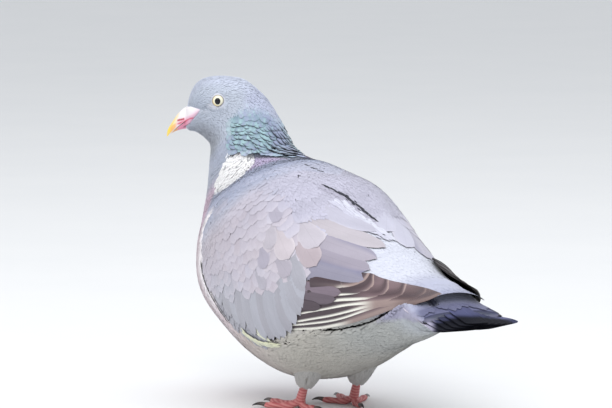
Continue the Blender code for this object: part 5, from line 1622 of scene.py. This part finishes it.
# ---------------------------------------------------------------- claws
for label, side, rings in claw_rings:
    rings = np.asarray(rings) * np.array([side, 1, 1])
    claw = ring_mesh(f"claw_horn_{label}", rings)
    n = len(claw.data.vertices)
    co = np.zeros(n * 3, np.float32)
    claw.data.vertices.foreach_get("co", co)
    layer = claw.data.color_attributes.new("tint", "FLOAT_COLOR", "POINT")
    rgba = np.ones((n, 4), np.float32)
    position = np.concatenate([np.repeat(np.linspace(0, 1, len(rings)), rings.shape[1]), [0, 1]])
    rgba[:, :3] = mix(ink(92, 78, 74) + 0 * position[:, None], ink(38, 34, 36), smooth(0.1, 0.8, position))
    layer.data.foreach_set("color", rgba.ravel())
    claw.data.materials.append(CLAW)
    claw.data.set_sharp_from_angle(angle=math.radians(60))
    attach(claw, "root")
    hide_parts(f"claw_{label}")

# ---------------------------------------------------------------- bill
def bill_colour(points, upper):
    """White cere, pink below it, the red slit of the nostril and line of the mouth, and a yellow tip."""
    x, y = side_place(points)
    nostril = np.interp(x, [-8.2, -3.5, 1.2, 5.9], [4.2, 2.0, -0.25, -1.3])
    mouth = np.interp(x, [-3.0, -1.0, 0.9, 5.6, 9.0, 11.5], [0.0, -0.9, -2.1, -3.4, -5.6, -8.6])
    over = y - nostril
    c = np.zeros(x.shape + (3,)) + ink(253, 247, 250)
    c = mix(c, ink(246, 218, 234), 0.6 * smooth(-3.5, -8.0, x))
    c = mix(c, ink(252, 206, 228), 0.8 * bell(over, -0.3, 1.0) * (1 - smooth(0.6, 2.2, x)))
    c = mix(c, ink(246, 200, 214), smooth(0.2, -0.7, over) * (1 - 0.55 * bell(x, 4.6, 1.5)))
    c = mix(c, ink(238, 150, 178), smooth(-0.8, -1.8, over) * (1 - smooth(3.5, 5.5, x)))
    c = mix(c, ink(230, 198, 220), 0.62 * smooth(0.6, -2.6, x) * smooth(0.4, -0.8, over))
    # the horn in front
    front = smooth(4.8, 6.6, x + 0.3 * (y + 1))
    c = mix(c, ink(253, 232, 196), front)
    c = mix(c, ink(252, 222, 132), smooth(7.0, 9.0, x + 0.35 * (y + 3)))
    c = mix(c, ink(255, 226, 84), bell(np.hypot(x - 11.4, y + 7.3), 0, 2.2))
    c = mix(c, ink(250, 186, 108), 0.8 * smooth(5.6, 7.4, x) * smooth(1.8, 0.6, y - mouth) * (1 - smooth(9.5, 11, x)))
    c = mix(c, ink(186, 38, 70), np.clip(1.3 * bell(over, 0.0, 0.6) * smooth(0.8, 1.6, x) * (1 - smooth(5.2, 6.1, x)), 0, 1))
    if not upper:
        c = mix(c * 0 + ink(236, 152, 180), ink(248, 184, 116), smooth(4.6, 7.0, x))
    c = mix(c, ink(214, 66, 100), 0.9 * bell(y - mouth, 0.0, 0.5) * (1 - smooth(5.0, 6.4, x)))
    # painted shadow along the feather edge at the base of the lower bill
    c = mix(c, ink(112, 86, 98), 0.7 * bell(line_distance(x, y, [(-3.5, -2.75), (-1.5, -3.9), (1.5, -5.4)]), 0, 0.5))
    return c


# the bare cere swells over the forehead behind the bill
grid_t, grid_f = np.meshgrid(np.linspace(0.0, 3.5, 130), np.linspace(-160, 160, 180), indexing="ij")
P, N, _, _ = HULL.at(grid_t, grid_f)
x, y = side_place(P)
within = inside_by(x, y, BARE)
swell = np.interp(within, [-1.2, -0.2, 0.3, 1.3], [-1.2, -0.35, 0.3, 0.62]) + 0.45 * bell(np.hypot(x + 3.2, (y - 4.6) * 1.2), 0, 2.2)
swell = swell - 0.30 * bell(y - np.interp(x, [-8.2, -3.5, 1.2, 5.9], [4.2, 2.0, -0.25, -1.3]), -0.6, 0.6) * smooth(-7, -2, x) * (within > 0)
swell = swell + 0.05 * wave_noise(x * 1.7, y * 1.7, 4)
top = P + N * swell[..., None]
bottom = P - N * 1.5
n, m = grid_t.shape
idx = np.arange(n * m).reshape(n, m)
q = np.stack([idx[:-1, :-1], idx[:-1, 1:], idx[1:, 1:], idx[1:, :-1]], -1).reshape(-1, 4)
facing = np.cross(top[60, 91] - top[60, 90], top[61, 90] - top[60, 90]) @ N[60, 90]
q = q if facing > 0 else q[:, ::-1]
top_tri = np.concatenate([q[:, [0, 1, 2]], q[:, [0, 2, 3]]])
low_tri = top_tri[:, ::-1] + n * m
rim = np.concatenate([idx[0, :-1], idx[:-1, -1], idx[-1, :0:-1], idx[:0:-1, 0]])
rim2 = np.roll(rim, -1)
sides = np.concatenate([np.stack([rim, rim2, rim2 + n * m], -1), np.stack([rim, rim2 + n * m, rim + n * m], -1)])
sides = sides[:, ::-1] if facing > 0 else sides
c = bill_colour(top.reshape(-1, 3), True)
c = mix(c, body_colour(grid_t, grid_f).reshape(-1, 3), (1 - smooth(-0.4, 0.1, within)).reshape(-1))
cere = quick_mesh("cere_skin", np.concatenate([top.reshape(-1, 3), bottom.reshape(-1, 3)]), np.concatenate([top_tri, low_tri, sides]),
                  np.concatenate([c, c]), sharp=60)
cere.data.materials.append(HORN)
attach(cere, "root")
w = BILL_HALF_WIDTH
UPPER_BILL = [
    (0.2, 7.3, 0.2, -0.5, w * 1.16), (2.2, 6.0, 1.6, -1.6, w * 1.10), (4.3, 4.2, 3.0, -2.6, w),
    (6.1, 2.1, 4.4, -3.6, w * 0.86), (7.9, -0.5, 5.9, -4.9, w * 0.72), (9.7, -3.2, 7.4, -6.3, w * 0.58),
    (11.2, -5.7, 8.9, -7.8, w * 0.44), (12.2, -8.4, 10.4, -9.3, w * 0.29), (12.55, -11.2, 11.7, -11.2, w * 0.12),
]
LOWER_BILL = [
    (0.35, -6.4, 0.35, -1.3, w * 0.92), (2.4, -6.7, 2.0, -2.7, w * 0.84), (4.6, -7.2, 4.0, -4.2, w * 0.7),
    (6.8, -7.9, 6.2, -6.0, w * 0.52), (8.8, -8.9, 8.2, -7.9, w * 0.34), (10.0, -9.7, 9.7, -9.4, w * 0.14),
]


def bill_piece(name, rows, upper):
    """A half of the bill, finely ringed, with the cere's swelling and the slit of the nostril in the upper one."""
    count, around = 60, 64
    where = np.linspace(-0.5 if upper else -0.4, len(rows) - 1, count)
    first = np.asarray(rows[0], float)
    slope = np.asarray(rows[1], float) - first
    table = through(rows, np.clip(where, 0, None))
    table = table + np.minimum(where, 0)[:, None] * (slope * np.array([1, 0.3, 1, 0.3, 0]))
    rings, shares, sides_at = [], [], []
    for i, (f_ridge, u_ridge, f_edge, u_edge, half) in enumerate(table):
        ring = []
        for k in range(around):
            a = math.pi * k / 40 if k <= 40 else None
            if a is not None:
                lift = math.sin(a) ** 0.9 if 0 < a < math.pi else 0.0
                lift = abs(lift)
                side = math.cos(a) * (1 - 0.08 * lift)
                f = f_edge + (f_ridge - f_edge) * lift
                u = u_edge + (u_ridge - u_edge) * lift
                l = half * side
                if upper:
                    # the swollen cere, then a pinch in front of it, and the nostril under its edge
                    swell = bell(where[i], 0.9, 0.95) * bell(abs(math.cos(a)), 0.55, 0.3)
                    l += math.copysign(0.55 * swell, side)
                    u += 0.35 * bell(where[i], 0.8, 0.8) * bell(abs(math.cos(a)), 0.35, 0.3)
                    pinch = bell(where[i], 2.9, 0.7) * bell(abs(math.cos(a)), 0.7, 0.25)
                    l -= math.copysign(0.42 * pinch, side)
                    slit = bell(where[i], 2.05, 0.75) * bell(lift, 0.50 - 0.10 * (where[i] - 2.0), 0.085)
                    l -= math.copysign(0.75 * slit, side)
                else:
                    groove = bell(lift, 0.35, 0.12) * (1 - smooth(3.5, 4.8, where[i]))
                    l -= math.copysign(0.16 * groove, side)
                ring.append((f, l, u))
                shares.append((where[i], lift, abs(math.cos(a))))
            else:
                share = (k - 40) / (around - 40)
                ring.append((f_edge, -half * (1 - 2 * share), u_edge + (0.12 if upper else -0.12) * math.sin(math.pi * share)))
                shares.append((where[i], 0.0, abs(1 - 2 * share)))
        rings.append([at_bill(*p) for p in ring])
    thing = ring_mesh(name, rings)
    c = bill_colour(np.asarray([p for ring in rings for p in ring] + [np.mean(rings[0], 0), np.mean(rings[-1], 0)]), upper)
    layer = thing.data.color_attributes.new("tint", "FLOAT_COLOR", "POINT")
    rgba = np.ones((len(c), 4), np.float32)
    rgba[:, :3] = c
    layer.data.foreach_set("color", rgba.ravel())
    thing.data.materials.append(HORN)
    thing.data.set_sharp_from_angle(angle=math.radians(70))
    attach(thing, "root")
    return thing


bill = bill_piece("bill_upper_horn", UPPER_BILL, True)
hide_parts("bill_upper")
bill = bill_piece("bill_lower_horn", LOWER_BILL, False)
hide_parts("bill_lower")

# ---------------------------------------------------------------- eyes
made, tree, shader = new_material("eyeball")
broad = tree.nodes.new("ShaderNodeUVMap")
broad.uv_map = "iris"
fibres = noise_node(tree, broad.outputs[0], 26.0, 3.0, 0.6)
factor = math_node(tree, "ADD", math_node(tree, "MULTIPLY", fibres, 0.24), 0.88)
tree.links.new(scaled_colour(tree, tint_of(tree), factor), shader.inputs["Base Color"])
tree.links.new(math_node(tree, "ADD", math_node(tree, "MULTIPLY", fibres, 0.1), 0.12), shader.inputs["Roughness"])
tree.links.new(bump_node(tree, fibres, 0.0001, 0.15), shader.inputs["Normal"])
shader.inputs["Coat Weight"].default_value = 0.14
shader.inputs["Specular IOR Level"].default_value = 0.3
shader.inputs["Coat Roughness"].default_value = 0.03
EYEBALL = made
for label, side in (("left", 1), ("right", -1)):
    polar = np.concatenate([np.linspace(0.0, 1.0, 40)[1:], np.linspace(1.0, math.pi, 22)[1:-1]])
    ring = np.linspace(0, 2 * math.pi, 64, endpoint=False)
    # the clear front bulges a little more than the ball
    rings = [eye_dome(side, np.full(64, p), ring, EYE_R + 0.22 * math.exp(-(p / 0.55) ** 2)) for p in polar]
    ball = ring_mesh(f"eyeball_{label}", rings)
    grid_p = np.concatenate([np.repeat(polar, 64), [0.0, math.pi]])
    grid_a = np.concatenate([np.tile(ring, len(polar)), [0.0, 0.0]])
    out = EYE_R * np.sin(np.minimum(grid_p, math.pi / 2))
    # the pupil sits a little ahead of and below the middle of the iris
    px, py = out * np.cos(grid_a) - 0.22, out * np.sin(grid_a) + 0.10
    in_pupil = 1 - smooth(0.94, 1.03, np.hypot(px / 1.78, py / 2.12))
    c = np.zeros((len(out), 3)) + ink(255, 252, 226)
    c = mix(c, ink(252, 224, 160), smooth(2.3, 3.2, out) * np.clip(0.35 + 0.6 * np.cos(grid_a + 0.9), 0, 1))
    c = mix(c, ink(246, 214, 160), 0.35 * smooth(3.0, 3.5, out))
    c = mix(c, ink(7, 8, 24), in_pupil)
    layer = ball.data.color_attributes.new("tint", "FLOAT_COLOR", "POINT")
    rgba = np.ones((len(c), 4), np.float32)
    rgba[:, :3] = c
    layer.data.foreach_set("color", rgba.ravel())
    uv = np.stack([grid_a / (2 * math.pi) * 1.0, out / 14.0], -1)
    loops = np.zeros(len(ball.data.loops), np.int32)
    ball.data.loops.foreach_get("vertex_index", loops)
    layer = ball.data.uv_layers.new(name="iris")
    layer.data.foreach_set("uv", uv[loops].astype(np.float32).ravel())
    ball.data.materials.append(EYEBALL)
    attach(ball, "root")
    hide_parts(f"eye_{label}")

# ---------------------------------------------------------------- floor, light and camera
made, tree, shader = new_material("pale_floor")
where = tree.nodes.new("ShaderNodeTexCoord")
grain = noise_node(tree, where.outputs["Object"], 9.0, 5.0, 0.6)
ramp = tree.nodes.new("ShaderNodeMix")
ramp.data_type = "RGBA"
ramp.inputs[6].default_value = (0.76, 0.765, 0.77, 1)
ramp.inputs[7].default_value = (0.80, 0.80, 0.80, 1)
tree.links.new(grain, ramp.inputs[0])
tree.links.new(ramp.outputs[2], shader.inputs["Base Color"])
shader.inputs["Roughness"].default_value = 0.75
floor_mesh = bpy.data.meshes.new("floor")
floor_mesh.from_pydata([(-30, -30, -0.0002), (30, -30, -0.0002), (30, 30, -0.0002), (-30, 30, -0.0002)], [], [(0, 1, 2, 3)])
floor = bpy.data.objects.new("floor", floor_mesh)
floor.data.materials.append(made)
bpy.context.scene.collection.objects.link(floor)

world = bpy.data.worlds.new("studio")
bpy.context.scene.world = world
world.use_nodes = True
world.node_tree.nodes["Background"].inputs["Color"].default_value = (0.93, 0.96, 1.0, 1)
world.node_tree.nodes["Background"].inputs["Strength"].default_value = 0.80

AIM = Vector((0.0, -0.065844, 0.1244))
AZIMUTH, ELEVATION, DISTANCE = math.radians(152.0), math.radians(6.0), 3.2
TOWARDS = Vector((math.sin(AZIMUTH) * math.cos(ELEVATION), -math.cos(AZIMUTH) * math.cos(ELEVATION), math.sin(ELEVATION)))


def area_light(name, position, target, size, power, colour=(1, 1, 1)):
    data = bpy.data.lights.new(name, "AREA")
    data.shape = "SQUARE"
    data.size = size
    data.energy = power
    data.color = colour
    lamp = bpy.data.objects.new(name, data)
    lamp.location = position
    lamp.rotation_euler = (Vector(target) - Vector(position)).to_track_quat("-Z", "Y").to_euler()
    bpy.context.scene.collection.objects.link(lamp)


area_light("key", (1.0, 0.9, 1.6), (0, 0, 0.1), 1.3, 21.0, (1.0, 0.985, 0.96))
area_light("top", (-0.3, -0.2, 2.0), (0, 0, 0.1), 1.6, 16.0, (0.97, 0.985, 1.0))

camera_data = bpy.data.cameras.new("camera")
camera_data.sensor_fit = "HORIZONTAL"
camera_data.sensor_width = 36.0
camera_data.lens = 5120.0 / 612.0 * 36.0
camera_data.clip_end = 100.0
camera = bpy.data.objects.new("camera", camera_data)
camera.location = AIM + TOWARDS * DISTANCE
camera.rotation_euler = (-TOWARDS).to_track_quat("-Z", "Y").to_euler()
bpy.context.scene.collection.objects.link(camera)
bpy.context.scene.camera = camera
bpy.context.scene.view_settings.view_transform = "Standard"
